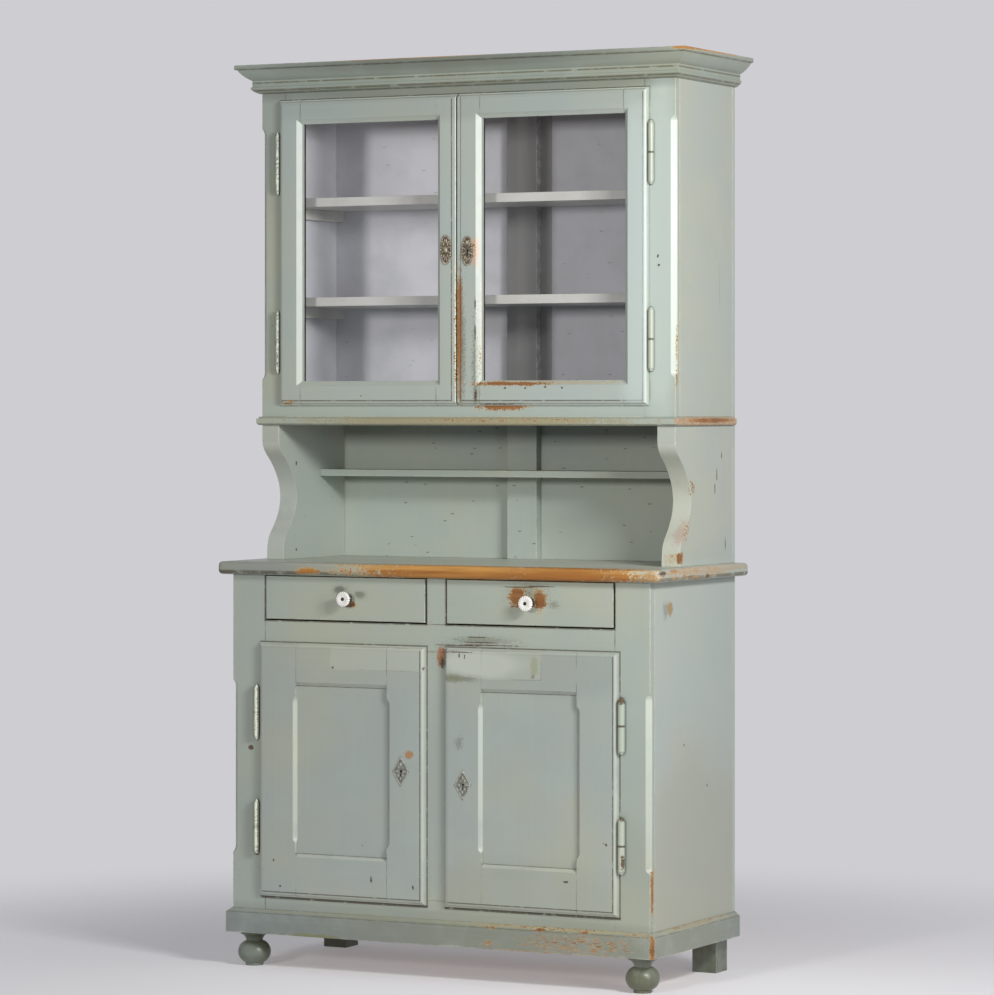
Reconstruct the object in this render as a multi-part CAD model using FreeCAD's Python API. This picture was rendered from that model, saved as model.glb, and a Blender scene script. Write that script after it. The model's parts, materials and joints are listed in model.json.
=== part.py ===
# Painted pine buffet cabinet: a low cupboard with two drawers and two panelled doors on a plinth
# and feet, an open niche between two shaped consoles, and a set-back upper case with two glazed doors.
# Frame: X to the right as seen from the front, Y towards the back, Z up, origin on the floor under
# the middle of the bounding box. All lengths are millimetres.
import FreeCAD, Part
import os
from math import sqrt, pi, cos, sin

V = FreeCAD.Vector
os.makedirs("parts", exist_ok=True)

# Overall sizes of the two cases
overall_height = 2000.0
case_width = 1020.0
case_depth = 436.0
upper_setback = 126.0
board = 22.0
back_board = 12.0
overrun = 5.0
touch_gap = 0.3

# Heights of the main levels, each a size of its own
foot_height = 76.0
plinth_height = 55.0
bottom_rail_height = 95.0
door_opening_height = 536.5
drawer_rail_height = 59.5
drawer_opening_height = 100.0
counter_thickness = 28.0
niche_height = 301.0
waist_thickness = 19.0
upper_bottom_rail_height = 36.0
upper_top_rail_height = 28.0
cornice_height = 63.0
top_board_thickness = 22.0

# Face frames
lower_stile_width = 82.4
drawer_muntin_width = 47.6
centre_post_width = 68.6
upper_left_stile_width = 60.0
upper_right_stile_width = 72.0
corner_chamfer = 11.0
chamfer_run = 16.0
lower_chamfer_foot = 121.0
lower_chamfer_head = 234.0
upper_chamfer_foot = 83.0
upper_chamfer_head = 78.0

# Counter, waist board and cornice
counter_side_overhang = 31.0
counter_front_overhang = 21.0
counter_nosing = 9.0
counter_corner_radius = 14.0
waist_overhang = 10.0
waist_fillet = 4.0
cornice_side_reach = 44.5
cornice_fascia = 10.0
cornice_step = 4.5
cornice_ovolo_drop = 24.0
cornice_ovolo_reach = 27.0
cornice_ovolo_fullness = 0.57
frieze_height = 14.0
cornice_lip = 3.0
cornice_lip_height = 4.0
cornice_front_reach = 49.0

# Plinth and feet
plinth_overhang = 12.0
plinth_bevel = 10.0
front_foot_inset_x = 34.0
front_foot_inset_y = 35.0
foot_base_radius = 20.0
foot_base_height = 6.0
foot_ball_radius = 36.5
foot_ball_level = 30.0
foot_neck_radius = 18.0
foot_neck_level = 55.0
foot_collar_radius = 31.0
foot_collar_height = 6.0
rear_foot_size = 58.0
rear_foot_inset_x = 17.0
rear_foot_inset_y = 4.0
foot_bearer_width = 58.0

# Niche
console_thickness = 43.0
console_head_height = 31.0
console_shoulder_drop = 53.0
console_shoulder_setback = 39.0
console_hollow_depth = 79.0
console_curl_height = 62.0
console_curl_setback = 38.0
console_base_height = 10.0
console_base_setback = 21.0
niche_shelf_depth = 113.0
niche_shelf_thickness = 15.0
niche_shelf_level = 185.0
joint_vee = 1.2
lower_back_joint_shares = (-0.66, -0.33, 0.0, 0.33, 0.66)
back_stile_width = 74.0
back_stile_proud = 22.0
back_stile_offset = 2.0

# Shelves and cleats
shelf_thickness = 20.0
shelf_front_inset = 38.0
low_glass_shelf_share = 0.321
high_glass_shelf_share = 0.660
cupboard_shelf_share = 0.511
cleat_height = 24.0
cleat_depth = 20.0
cleat_front_inset = 30.0
cleat_bevel = 12.0

# Doors: a lip laps over the face frame and a narrower body sits inside the opening
lip_overlap = 11.0
lip_proud = 12.0
edge_gap = 1.5
lip_ovolo = 8.0
lip_fillet = 2.5
lip_edge = 4.0
panel_door_body = 10.0
panel_door_stile = 95.5
panel_door_inner_stile = 92.5
panel_door_top_rail = 93.5
panel_door_bottom_rail = 97.0
panel_recess = 8.5
panel_thickness = 8.0
panel_tongue = 7.0
panel_chamfer_margin = 22.0
panel_chamfer_run = 17.0
panel_chamfer = 8.0

glass_door_body = 14.0
glass_door_meeting = -11.0
glass_meeting_gap = 4.0
glass_hinge_stile = 56.0
glass_left_meeting_stile = 49.0
glass_right_meeting_stile = 55.0
glass_rail = 54.0
glass_chamfer = 10.0
glass_sight_depth = 8.0
glass_thickness = 3.0
glass_rebate = 7.0
glass_play = 0.5
meeting_bead = 7.0
meeting_quirk = 1.4
meeting_round = 4.0

# Hinges: a pair of barrels with pointed tips, each barrel on a leaf let into the wood
upper_hinge_radius = 6.0
upper_hinge_length = 141.0
upper_hinge_low_share = 0.198
upper_hinge_high_share = 0.804
lower_hinge_radius = 7.5
lower_hinge_length = 124.0
lower_hinge_low_share = 0.261
lower_hinge_high_share = 0.7325
hinge_pin_radius = 3.0
pin_fit = 0.05
pin_seat_fit = 0.02
hinge_tip = 9.0
hinge_tip_radius = 1.6
hinge_leaf_thickness = 2.0
hinge_leaf_reach = 24.0
hinge_leaf_margin = 8.0
hinge_leaf_cover = 1.2

# Escutcheons, locks and bolts
oval_width = 28.0
oval_height = 65.0
oval_boss_width = 12.0
oval_boss_height = 30.0
plate_thickness = 1.6
boss_thickness = 1.0
diamond_width = 42.0
diamond_height = 66.0
left_oval_inset = 24.0
left_oval_share = 0.500
right_oval_inset = 25.0
right_oval_share = 0.495
left_diamond_inset = 57.0
left_diamond_share = 0.516
right_diamond_inset = 48.0
right_diamond_share = 0.473
keyhole_radius = 3.5
keyhole_slot = 3.6
keyhole_drop = 11.0
lock_width = 42.0
lock_height = 62.0
lock_thickness = 14.0
lock_edge_inset = 3.0
lock_bolt_rise = 17.0
lock_bolt_height = 14.0
lock_bolt_thickness = 6.0
lock_bolt_length = 32.0
lock_bolt_travel = 10.0
lock_wall = 3.0
slide_fit = 0.3
door_bolt_width = 9.0
door_bolt_thickness = 4.0
door_bolt_length = 90.0
door_bolt_travel = 14.0
door_bolt_recess = 1.0
door_bolt_margin = 3.0
bolt_plate_width = 18.0
bolt_plate_height = 34.0
bolt_plate_cover = 1.6
bolt_plate_inset = 22.0
bolt_knob_radius = 3.5
bolt_knob_height = 7.0

# Drawers
drawer_gap = 1.5
drawer_head_gap = 2.5
drawer_foot_gap = 3.0
drawer_right_gap = 4.0
drawer_front_thickness = 20.0
drawer_front_round = 2.0
drawer_side_thickness = 12.0
drawer_side_drop = 14.0
drawer_rear_clearance = 37.0
drawer_bottom_thickness = 7.0
drawer_bottom_rise = 7.0
drawer_groove = 4.0
runner_width = 60.0
runner_thickness = 22.0
guide_height = 24.0
left_knob_offset = 8.0
right_knob_offset = 2.0
knob_rise = 51.0
knob_projection = 28.0
knob_radius = 17.0
knob_rim = 6.0
knob_neck_radius = 7.5
knob_base_radius = 10.0
knob_base_thickness = 3.0
knob_collar_length = 13.0
knob_lobes = 12
knob_lobe_depth = 1.2
knob_screw_radius = 2.2
knob_screw_head_radius = 4.0
knob_screw_head = 1.4
knob_screw_bite = 12.0

# Levels and planes worked out from the sizes above
half_width = case_width / 2
front = knob_projection - (case_depth + knob_projection) / 2
back = front + case_depth
back_face = back - back_board
upper_front = front + upper_setback
frame_back = front + board
upper_frame_back = upper_front + board
side_inner = half_width - board
plinth_top = foot_height + plinth_height
opening_bottom = foot_height + bottom_rail_height
opening_top = opening_bottom + door_opening_height
drawer_floor = opening_top + drawer_rail_height
counter_under = drawer_floor + drawer_opening_height
counter_top = counter_under + counter_thickness
waist_under = counter_top + niche_height
waist_top = waist_under + waist_thickness
glass_opening_bottom = waist_top + upper_bottom_rail_height
cornice_under = overall_height - cornice_height
glass_opening_top = cornice_under - upper_top_rail_height
glass_opening_height = glass_opening_top - glass_opening_bottom
top_board_under = overall_height - top_board_thickness
lower_opening_edge = half_width - lower_stile_width
post_half = centre_post_width / 2
muntin_half = drawer_muntin_width / 2
glass_left_edge = -half_width + upper_left_stile_width
glass_right_edge = half_width - upper_right_stile_width
upper_shelf_front = upper_frame_back + shelf_front_inset
lower_shelf_front = frame_back + shelf_front_inset
low_glass_shelf = glass_opening_bottom + low_glass_shelf_share * glass_opening_height
high_glass_shelf = glass_opening_bottom + high_glass_shelf_share * glass_opening_height
cupboard_shelf = opening_bottom + cupboard_shelf_share * door_opening_height
left_oval_level = glass_opening_bottom + left_oval_share * glass_opening_height
right_oval_level = glass_opening_bottom + right_oval_share * glass_opening_height
left_diamond_level = opening_bottom + left_diamond_share * door_opening_height
right_diamond_level = opening_bottom + right_diamond_share * door_opening_height


def box(x0, x1, y0, y1, z0, z1):
    """A box between two corners."""
    return Part.makeBox(x1 - x0, y1 - y0, z1 - z0, V(x0, y0, z0))


def mirrored(shape):
    """The same shape on the other side of the cabinet's middle."""
    return shape.mirror(V(0, 0, 0), V(1, 0, 0))


def outline_face(steps):
    """A flat face from a closed outline: a point draws a line, a pair (middle, end) draws an arc."""
    edges = []
    at = steps[0]
    for step in steps[1:] + [steps[0]]:
        if isinstance(step, tuple):
            middle, end = step
            edges.append(Part.Arc(at, middle, end).toShape())
        else:
            end = step
            if (end - at).Length > touch_gap / 100:
                edges.append(Part.LineSegment(at, end).toShape())
        at = end
    return Part.Face(Part.Wire(edges))


def quarter(centre, start, end):
    """Middle point and end point of the short arc from start to end about a centre."""
    outward = (start - centre) + (end - centre)
    outward.normalize()
    return (centre + outward * (start - centre).Length, end)


def stopped_chamfer(corner_x, corner_y, inward_x, inward_y, size, low, high, run):
    """Cutter for a chamfer along an upright corner that runs out in a curve at both ends."""
    inward = V(inward_x, inward_y, 0) / sqrt(2)
    across = V(inward_y, -inward_x, 0) / sqrt(2)
    deep = size / sqrt(2)
    corner = V(corner_x, corner_y, 0) - across * size
    low_end = V(0, 0, low)
    high_end = V(0, 0, high)
    rise = V(0, 0, run)
    bow = V(0, 0, run / 3)
    steps = [
        corner + low_end - inward * size,
        corner + low_end,
        (corner + low_end + inward * (deep * 2 / 3) + bow, corner + low_end + rise + inward * deep),
        corner + high_end - rise + inward * deep,
        (corner + high_end + inward * (deep * 2 / 3) - bow, corner + high_end),
        corner + high_end - inward * size,
    ]
    return outline_face(steps).extrude(across * (size * 2))


def edge_prism(points, direction):
    """A straight prism from a closed outline of points."""
    return outline_face(points).extrude(direction)


def cylinder(radius, height, base, direction):
    """A cylinder from its base centre along a direction."""
    return Part.makeCylinder(radius, height, base, direction)


def merged(shapes):
    """One clean solid from touching or overlapping solids."""
    return shapes[0].fuse(shapes[1:]).removeSplitter()


def cut_all(shape, cutters):
    """A shape less all its cutters."""
    return shape.cut(cutters) if cutters else shape


def save(name, *solids):
    """Write one node's solids to its STEP file and report them."""
    found = [piece for shape in solids for piece in shape.Solids]
    shape = found[0] if len(found) == 1 else Part.makeCompound(found)
    shape.exportStep("parts/" + name + ".step")
    size = shape.BoundBox
    print(name, len(found), "solid(s), valid" if shape.isValid() else "solid(s), NOT VALID",
          round(size.XLength, 1), round(size.YLength, 1), round(size.ZLength, 1))


# Lower case: sides, face frame, bottom, back and runners, and the shelves of both cases
def lower_case():
    side = box(side_inner, half_width, frame_back, back_face, foot_height, counter_under)
    save("lower_side_panels", mirrored(side), side)

    chamfer = stopped_chamfer(half_width, front, -1, 1, corner_chamfer,
                              plinth_top + lower_chamfer_foot, counter_under - lower_chamfer_head,
                              chamfer_run)
    stile = box(lower_opening_edge, half_width, front, frame_back, foot_height, counter_under)
    stile = cut_all(stile, [chamfer] + frame_leaf_slots("lower_right"))
    save("lower_front_stiles", mirrored(stile), stile)

    bottom_rail = box(-lower_opening_edge, lower_opening_edge, front, frame_back,
                      foot_height, opening_bottom)
    drawer_rail = box(-lower_opening_edge, lower_opening_edge, front, frame_back,
                      opening_top, drawer_floor)
    save("lower_face_rails", bottom_rail, drawer_rail)

    post = box(-post_half, post_half, front, frame_back, opening_bottom, opening_top)
    muntin = box(-muntin_half, muntin_half, front, frame_back, drawer_floor, counter_under)
    save("lower_middle_posts", cut_all(post, bolt_mortises()), muntin)

    save("bottom_board", box(-side_inner, side_inner, frame_back, back_face,
                             opening_bottom - board, opening_bottom))
    save("case_shelves", shelf_board(lower_shelf_front, cupboard_shelf),
         shelf_board(upper_shelf_front, low_glass_shelf),
         shelf_board(upper_shelf_front, high_glass_shelf))

    rest = drawer_floor
    inner_runner = box(-runner_width, runner_width, frame_back, back_face, rest - runner_thickness, rest)
    outer_runner = box(side_inner - 2 * runner_width, side_inner, frame_back, back_face,
                       rest - runner_thickness, rest)
    inner_guide = box(-muntin_half, muntin_half, frame_back, back_face, rest, rest + guide_height)
    outer_guide = box(lower_opening_edge, side_inner, frame_back, back_face, rest, rest + guide_height)
    save("drawer_runners_and_guides", inner_runner, outer_runner, mirrored(outer_runner),
         inner_guide, outer_guide, mirrored(outer_guide))

    save("lower_back_boards", *back_boards(lower_back_joint_shares, foot_height, counter_under))
    save("counter_top", counter())


def back_boards(joint_shares, low, high):
    """Upright boards nailed over the back edges, with a small vee at each joint."""
    places = [-half_width] + [share * half_width for share in joint_shares] + [half_width]
    boards = []
    for left, right in zip(places[:-1], places[1:]):
        steps = [V(left, back_face + joint_vee, low)]
        steps.append(V(left + joint_vee, back_face, low))
        steps.append(V(right - joint_vee, back_face, low))
        steps.append(V(right, back_face + joint_vee, low))
        steps.append(V(right, back, low))
        steps.append(V(left, back, low))
        boards.append(edge_prism(steps, V(0, 0, high - low)))
    return boards


def shelf_board(shelf_front, under):
    """A shelf from side to side and back to the back boards."""
    slab = box(-side_inner, side_inner, shelf_front, back_face, under, under + shelf_thickness)
    return slab.cut(back_stile())


def counter():
    """The counter board, with a rounded nosing on the front and sides and rounded front corners."""
    left = -half_width - counter_side_overhang
    right = -left
    lip = front - counter_front_overhang
    slab = box(left, right, lip, back, counter_under, counter_top)
    corners = [edge for edge in slab.Edges
               if abs(edge.BoundBox.XLength) + abs(edge.BoundBox.YLength) < touch_gap
               and edge.BoundBox.YMax < lip + touch_gap]
    slab = slab.makeFillet(counter_corner_radius, corners)
    rims = [edge for edge in slab.Edges
            if edge.BoundBox.ZLength < touch_gap and edge.BoundBox.YMin < back - touch_gap]
    return slab.makeFillet(counter_nosing, rims)


# Plinth boards, mitred at the front corners, and the four feet
def plinth_and_feet():
    left = -half_width - plinth_overhang
    lip = front - plinth_overhang
    shoulder = plinth_top - plinth_bevel
    section = [V(0, lip, foot_height), V(0, lip, shoulder), V(0, front, plinth_top),
               V(0, front, foot_height)]
    run = edge_prism(section, V(2 * (half_width + plinth_overhang), 0, 0))
    run.translate(V(left, 0, 0))
    front_board = run.common(mitre_wedge(half_width, front, plinth_overhang, foot_height, plinth_top))
    side_section = [V(-left, front, foot_height), V(-left, front, shoulder),
                    V(half_width, front, plinth_top), V(half_width, front, foot_height)]
    side_run = edge_prism(side_section, V(0, back - lip, 0))
    side_run.translate(V(0, lip - front, 0))
    side_board = side_run.cut(mitre_wedge(half_width, front, plinth_overhang, foot_height, plinth_top))
    save("plinth", front_board, side_board, mirrored(side_board))

    foot = turned_foot()
    foot.translate(V(half_width - front_foot_inset_x, front + front_foot_inset_y, 0))
    save("turned_front_feet", mirrored(foot), foot)
    outer = half_width - rear_foot_inset_x
    rear = back - rear_foot_inset_y
    block = box(outer - rear_foot_size, outer, rear - rear_foot_size, rear, 0, foot_height)
    save("rear_block_feet", mirrored(block), block)
    rail = box(side_inner - foot_bearer_width, side_inner, frame_back, back_face,
               foot_height, opening_bottom - board)
    save("foot_bearers", mirrored(rail), rail)


def mitre_wedge(corner_x, face_y, reach, low, high):
    """The space in front of a face that lies between the mitres at the two front corners."""
    far = reach + overrun
    steps = [V(-corner_x, face_y, low - overrun), V(-corner_x - far, face_y - far, low - overrun),
             V(corner_x + far, face_y - far, low - overrun), V(corner_x, face_y, low - overrun)]
    return edge_prism(steps, V(0, 0, high - low + 2 * overrun))


def turned_foot():
    """A turned bun foot: base, ball, neck and collar, on the Z axis."""
    base = foot_base_height
    collar = foot_height - foot_collar_height
    ball_low = V(foot_base_radius, 0, base)
    ball_mid = V(foot_ball_radius, 0, foot_ball_level)
    ball_high = V(foot_neck_radius, 0, foot_neck_level)
    flare_mid = V(foot_neck_radius + foot_base_height / 2, 0, (foot_neck_level + collar) / 2)
    flare_end = V(foot_collar_radius, 0, collar)
    steps = [
        V(0, 0, 0),
        V(foot_base_radius, 0, 0),
        ball_low,
        (ball_mid, ball_high),
        (flare_mid, flare_end),
        V(foot_collar_radius, 0, foot_height),
        V(0, 0, foot_height),
    ]
    return outline_face(steps).revolve(V(0, 0, 0), V(0, 0, 1), 360)


# Niche: consoles, shelf; the back boards run from the counter to the top
def niche():
    save("niche_consoles", mirrored(console()), console())
    inner = half_width - console_thickness
    shelf_under = counter_top + niche_shelf_level
    shelf = box(-inner, inner, back_face - niche_shelf_depth, back_face,
                shelf_under, shelf_under + niche_shelf_thickness)
    save("niche_shelf", shelf.cut(back_stile()))


def console():
    """The right console: its front edge falls back over a shoulder to a hollow and sweeps out to its base."""
    inner = half_width - console_thickness
    head = V(inner, upper_front, waist_under - console_head_height)
    shoulder = head + V(0, console_shoulder_setback, -console_shoulder_drop)
    curl = V(inner, upper_front + console_curl_setback, counter_top + console_curl_height)
    base = V(inner, upper_front + console_base_setback, counter_top + console_base_height)
    swell = (console_hollow_depth - (console_shoulder_setback + console_curl_setback) / 2) * 4 / 3
    inward = V(0, swell, -swell)
    outward = V(0, -swell, -swell)
    fall = V(0, 0, -console_shoulder_drop / 2)
    edges = []
    for poles in ((head, head + fall, shoulder - inward / 3, shoulder),
                  (shoulder, shoulder + inward, curl - outward, curl),
                  (curl, curl + outward / 5, base - fall, base)):
        curve = Part.BezierCurve()
        curve.setPoles(list(poles))
        edges.append(curve.toShape())
    corners = [base, V(inner, base.y, counter_top), V(inner, back_face, counter_top),
               V(inner, back_face, waist_under), V(inner, upper_front, waist_under), head]
    edges += [Part.LineSegment(one, two).toShape() for one, two in zip(corners[:-1], corners[1:])]
    return Part.Face(Part.Wire(edges)).extrude(V(console_thickness, 0, 0))


# Upper case: waist board, sides, face frame, top, back and cornice
def upper_case():
    save("waist_board", waist())
    side = box(side_inner, half_width, upper_frame_back, back_face, waist_top, top_board_under)
    save("upper_side_panels", mirrored(side), side)

    low = waist_top + upper_chamfer_foot
    high = cornice_under - upper_chamfer_head
    left = box(-half_width, glass_left_edge, upper_front, upper_frame_back, waist_top, top_board_under)
    right = box(glass_right_edge, half_width, upper_front, upper_frame_back, waist_top, top_board_under)
    left_cuts = [stopped_chamfer(-half_width, upper_front, 1, 1, corner_chamfer, low, high, chamfer_run)]
    right_cuts = [stopped_chamfer(half_width, upper_front, -1, 1, corner_chamfer, low, high, chamfer_run)]
    left = cut_all(left, left_cuts + frame_leaf_slots("upper_left"))
    right = cut_all(right, right_cuts + frame_leaf_slots("upper_right"))
    save("upper_front_stiles", left, right)

    bottom_rail = box(glass_left_edge, glass_right_edge, upper_front, upper_frame_back,
                      waist_top, glass_opening_bottom)
    top_rail = box(glass_left_edge, glass_right_edge, upper_front, upper_frame_back,
                   glass_opening_top, top_board_under)
    sockets = bolt_sockets()
    save("upper_face_rails", cut_all(bottom_rail, sockets), cut_all(top_rail, sockets))

    lid = box(-half_width, half_width, upper_front, back_face, top_board_under, overall_height)
    save("upper_top_board", lid.cut(back_stile()))
    stile = back_stile().BoundBox
    save("upper_back_boards", back_stile(),
         box(-half_width, stile.XMin, back_face, back, counter_top, overall_height),
         box(stile.XMax, half_width, back_face, back, counter_top, overall_height))
    save("cornice", *cornice())


def waist():
    """The board between niche and upper case, moulded on its front and side edges."""
    reach = waist_overhang
    slab = box(-half_width - reach, half_width + reach, upper_front - reach, back_face,
               waist_under, waist_top)
    rims = [edge for edge in slab.Edges
            if edge.BoundBox.ZLength < touch_gap and edge.BoundBox.YMin < back_face - touch_gap
            and edge.BoundBox.ZMax < waist_top - touch_gap]
    slab = slab.makeFillet(waist_thickness / 3, rims)
    step_under = waist_top - waist_fillet
    inner_reach = reach - waist_fillet
    far = half_width + reach + overrun
    step_front = upper_front - reach - overrun
    front_cut = box(-far, far, step_front, upper_front - inner_reach, step_under, waist_top + overrun)
    side_cut = box(half_width + inner_reach, far, step_front, back, step_under, waist_top + overrun)
    return cut_all(slab, [front_cut, side_cut, mirrored(side_cut), back_stile()])


def back_stile():
    """The stile between the two back panels, proud of them on the inside."""
    return box(back_stile_offset - back_stile_width / 2, back_stile_offset + back_stile_width / 2,
               back_face - back_stile_proud, back, counter_top, overall_height)


def cornice_section(reach, place):
    """The cornice moulding's outline for one reach; place turns (distance out, height) to a point."""
    fascia_low = overall_height - cornice_fascia
    ovolo_out = reach - cornice_step
    ovolo_low = fascia_low - cornice_ovolo_drop
    frieze_out = ovolo_out - cornice_ovolo_reach
    frieze_low = ovolo_low - frieze_height
    lip_out = frieze_out + cornice_lip
    lip_low = frieze_low - cornice_lip_height
    drop = lip_low - cornice_under
    ovolo_middle = place(ovolo_out - cornice_ovolo_reach * (1 - cornice_ovolo_fullness),
                         fascia_low - cornice_ovolo_drop * cornice_ovolo_fullness)
    foot_middle = place(lip_out * 3 / 5, cornice_under + drop / 3)
    return outline_face([
        place(0, overall_height), place(reach, overall_height), place(reach, fascia_low),
        place(ovolo_out, fascia_low), (ovolo_middle, place(frieze_out, ovolo_low)),
        place(frieze_out, frieze_low), place(lip_out, frieze_low), place(lip_out, lip_low),
        (foot_middle, place(0, cornice_under)),
    ])


def cornice():
    """Front moulding and two returns, mitred at the corners."""
    side, face = cornice_side_reach, cornice_front_reach
    far = overrun
    low, high = cornice_under - far, overall_height + far
    wedge = edge_prism([V(-half_width, upper_front, low),
                        V(-half_width - 2 * side, upper_front - 2 * face, low),
                        V(half_width + 2 * side, upper_front - 2 * face, low),
                        V(half_width, upper_front, low)], V(0, 0, high - low))
    front_run = cornice_section(face, lambda out, up: V(-2 * half_width, upper_front - out, up))
    front_run = front_run.extrude(V(4 * half_width, 0, 0)).common(wedge)
    side_run = cornice_section(side, lambda out, up: V(half_width + out, upper_front - 2 * face, up))
    side_run = side_run.extrude(V(0, back - upper_front + 2 * face, 0)).cut(wedge)
    return front_run, side_run, mirrored(side_run)


def shelf_cleats():
    """Strips under the shelves, screwed to the sides, with a bevelled front end."""
    cleats = []
    for under, start in ((low_glass_shelf, upper_frame_back), (high_glass_shelf, upper_frame_back),
                         (cupboard_shelf, frame_back)):
        nose = start + cleat_front_inset
        steps = [V(side_inner, nose, under), V(side_inner, nose, under - cleat_height + cleat_bevel),
                 V(side_inner, nose + cleat_bevel, under - cleat_height),
                 V(side_inner, back_face, under - cleat_height), V(side_inner, back_face, under)]
        cleat = edge_prism(steps, V(-cleat_depth, 0, 0))
        cleats += [cleat, mirrored(cleat)]
    save("shelf_cleats", *cleats)


# Hinge places: every hinge's axis is just outside its door's lip and just in front of the frame
def hinge_place(kind):
    """Axis X and Y, radius and length of one door's hinges."""
    if kind in ("lower_right", "lower_left"):
        out = lower_opening_edge + lip_overlap + lower_hinge_radius + touch_gap
        x = -out if kind == "lower_left" else out
        return x, front - lower_hinge_radius - touch_gap, lower_hinge_radius, lower_hinge_length
    beyond = lip_overlap + upper_hinge_radius + touch_gap
    x = glass_left_edge - beyond if kind == "upper_left" else glass_right_edge + beyond
    return x, upper_front - upper_hinge_radius - touch_gap, upper_hinge_radius, upper_hinge_length


def hinge_seams(kind):
    """Levels at which the two barrels of one door's hinges meet."""
    if kind in ("lower_right", "lower_left"):
        return [opening_bottom + share * door_opening_height
                for share in (lower_hinge_low_share, lower_hinge_high_share)]
    return [glass_opening_bottom + share * glass_opening_height
            for share in (upper_hinge_low_share, upper_hinge_high_share)]


def hinge_half(radius, length):
    """One barrel of a hinge standing on Z = 0 with its pointed tip at the far end."""
    straight = length / 2 - touch_gap / 2 - hinge_tip
    tip_top = straight + hinge_tip
    waist_point = V(radius * 3 / 4, 0, straight + hinge_tip / 4)
    steps = [V(0, 0, 0), V(radius, 0, 0), V(radius, 0, straight),
             waist_point, V(hinge_tip_radius, 0, tip_top), V(0, 0, tip_top)]
    return outline_face(steps).revolve(V(0, 0, 0), V(0, 0, 1), 360)


def frame_leaf(kind, seam):
    """The leaf of the lower barrel, let straight back into the stile."""
    x, y, radius, length = hinge_place(kind)
    low = seam - length / 2 + hinge_tip + hinge_leaf_margin
    half = hinge_leaf_thickness / 2
    deep = hinge_leaf_reach * 3 / 4
    return box(x - half, x + half, y, y + radius + deep, low, seam - hinge_leaf_margin)


def door_leaf(kind, seam):
    """The leaf of the upper barrel, let sideways into the edge of the door's lip."""
    x, y, radius, length = hinge_place(kind)
    high = seam + length / 2 - hinge_tip - hinge_leaf_margin
    reach = radius + hinge_leaf_reach
    far = x - reach if x > 0 else x + reach
    leaf_back = y + radius - hinge_leaf_cover
    return box(min(x, far), max(x, far), leaf_back - hinge_leaf_thickness, leaf_back,
               seam + hinge_leaf_margin, high)


def frame_leaf_slots(kind):
    """Cutters that let the frame leaves of one door into its stile."""
    return [frame_leaf(kind, seam) for seam in hinge_seams(kind)]


def hinges():
    """Frame halves with their pins on the case, and each door's own halves."""
    frame_halves = []
    pins = []
    for kind, name in HINGE_NODES.items():
        x, y, radius, length = hinge_place(kind)
        door_halves = []
        reach = (length / 2 - hinge_tip) * 3 / 4
        for seam in hinge_seams(kind):
            foot = V(x, y, seam - reach)
            deep_foot = V(x, y, seam - reach - touch_gap)
            bore_height = 2 * (reach + touch_gap)
            tight_bore = cylinder(hinge_pin_radius + pin_seat_fit, bore_height, deep_foot, V(0, 0, 1))
            free_bore = cylinder(hinge_pin_radius + pin_fit, bore_height, deep_foot, V(0, 0, 1))
            lower = hinge_half(radius, length)
            lower.rotate(V(0, 0, 0), V(1, 0, 0), 180)
            lower.translate(V(x, y, seam - touch_gap / 2))
            frame_halves.append(merged([lower, frame_leaf(kind, seam)]).cut(tight_bore))
            upper = hinge_half(radius, length)
            upper.translate(V(x, y, seam + touch_gap / 2))
            door_halves.append(merged([upper, door_leaf(kind, seam)]).cut(free_bore))
            pins.append(cylinder(hinge_pin_radius, 2 * reach, foot, V(0, 0, 1)))
        save(name, *door_halves)
    save("frame_hinge_halves", *frame_halves)
    save("hinge_pins", *pins)


HINGE_NODES = {
    "upper_left": "left_glass_door_hinge_halves",
    "upper_right": "right_glass_door_hinge_halves",
    "lower_left": "left_cupboard_door_hinge_halves",
    "lower_right": "right_cupboard_door_hinge_halves",
}


# Keyhole, lock and bolt shapes shared by the doors
def keyhole(x, z, y0, y1):
    """A keyhole cutter through the thickness from y0 to y1."""
    half = keyhole_slot / 2
    barrel = cylinder(keyhole_radius, y1 - y0, V(x, y0, z), V(0, 1, 0))
    slot = box(x - half, x + half, y0, y1, z - keyhole_drop, z)
    return merged([barrel, slot])


def lock(x_edge, side, x_key, z_key, y_face, names):
    """A box lock on a door's back: its case and the bolt that slides out past the meeting edge."""
    near = x_edge + side * lock_edge_inset
    far = near + side * lock_width
    low = z_key - lock_height / 2
    body = box(min(near, far), max(near, far), y_face, y_face + lock_thickness, low, low + lock_height)
    bolt_low = z_key + lock_bolt_rise - lock_bolt_height / 2
    bolt_y = y_face + (lock_thickness - lock_bolt_thickness) / 2
    bolt_far = near + side * lock_bolt_length
    bolt = box(min(near, bolt_far), max(near, bolt_far), bolt_y, bolt_y + lock_bolt_thickness,
               bolt_low, bolt_low + lock_bolt_height)
    mouth = near - side * overrun
    deep = bolt_far + side * slide_fit
    channel = box(min(mouth, deep), max(mouth, deep), bolt_y - slide_fit,
                  bolt_y + lock_bolt_thickness + slide_fit,
                  bolt_low - slide_fit, bolt_low + lock_bolt_height + slide_fit)
    hole = keyhole(x_key, z_key, y_face - overrun, y_face + lock_thickness - lock_wall)
    save(names[0], cut_all(body, [channel, hole]))
    save(names[1], bolt)


def bolt_mortises():
    """Sockets in the centre post for the two cupboard locks' bolts."""
    y = front + panel_door_body + (lock_thickness - lock_bolt_thickness) / 2
    fit = 2 * slide_fit
    cuts = []
    for side, level in ((-1, left_diamond_level), (1, right_diamond_level)):
        z = level + lock_bolt_rise - lock_bolt_height / 2
        near = side * (post_half + overrun)
        deep = side * (post_half - lock_bolt_travel)
        cuts.append(box(min(near, deep), max(near, deep), y - fit, y + lock_bolt_thickness + fit,
                        z - fit, z + lock_bolt_height + fit))
    return cuts


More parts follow.
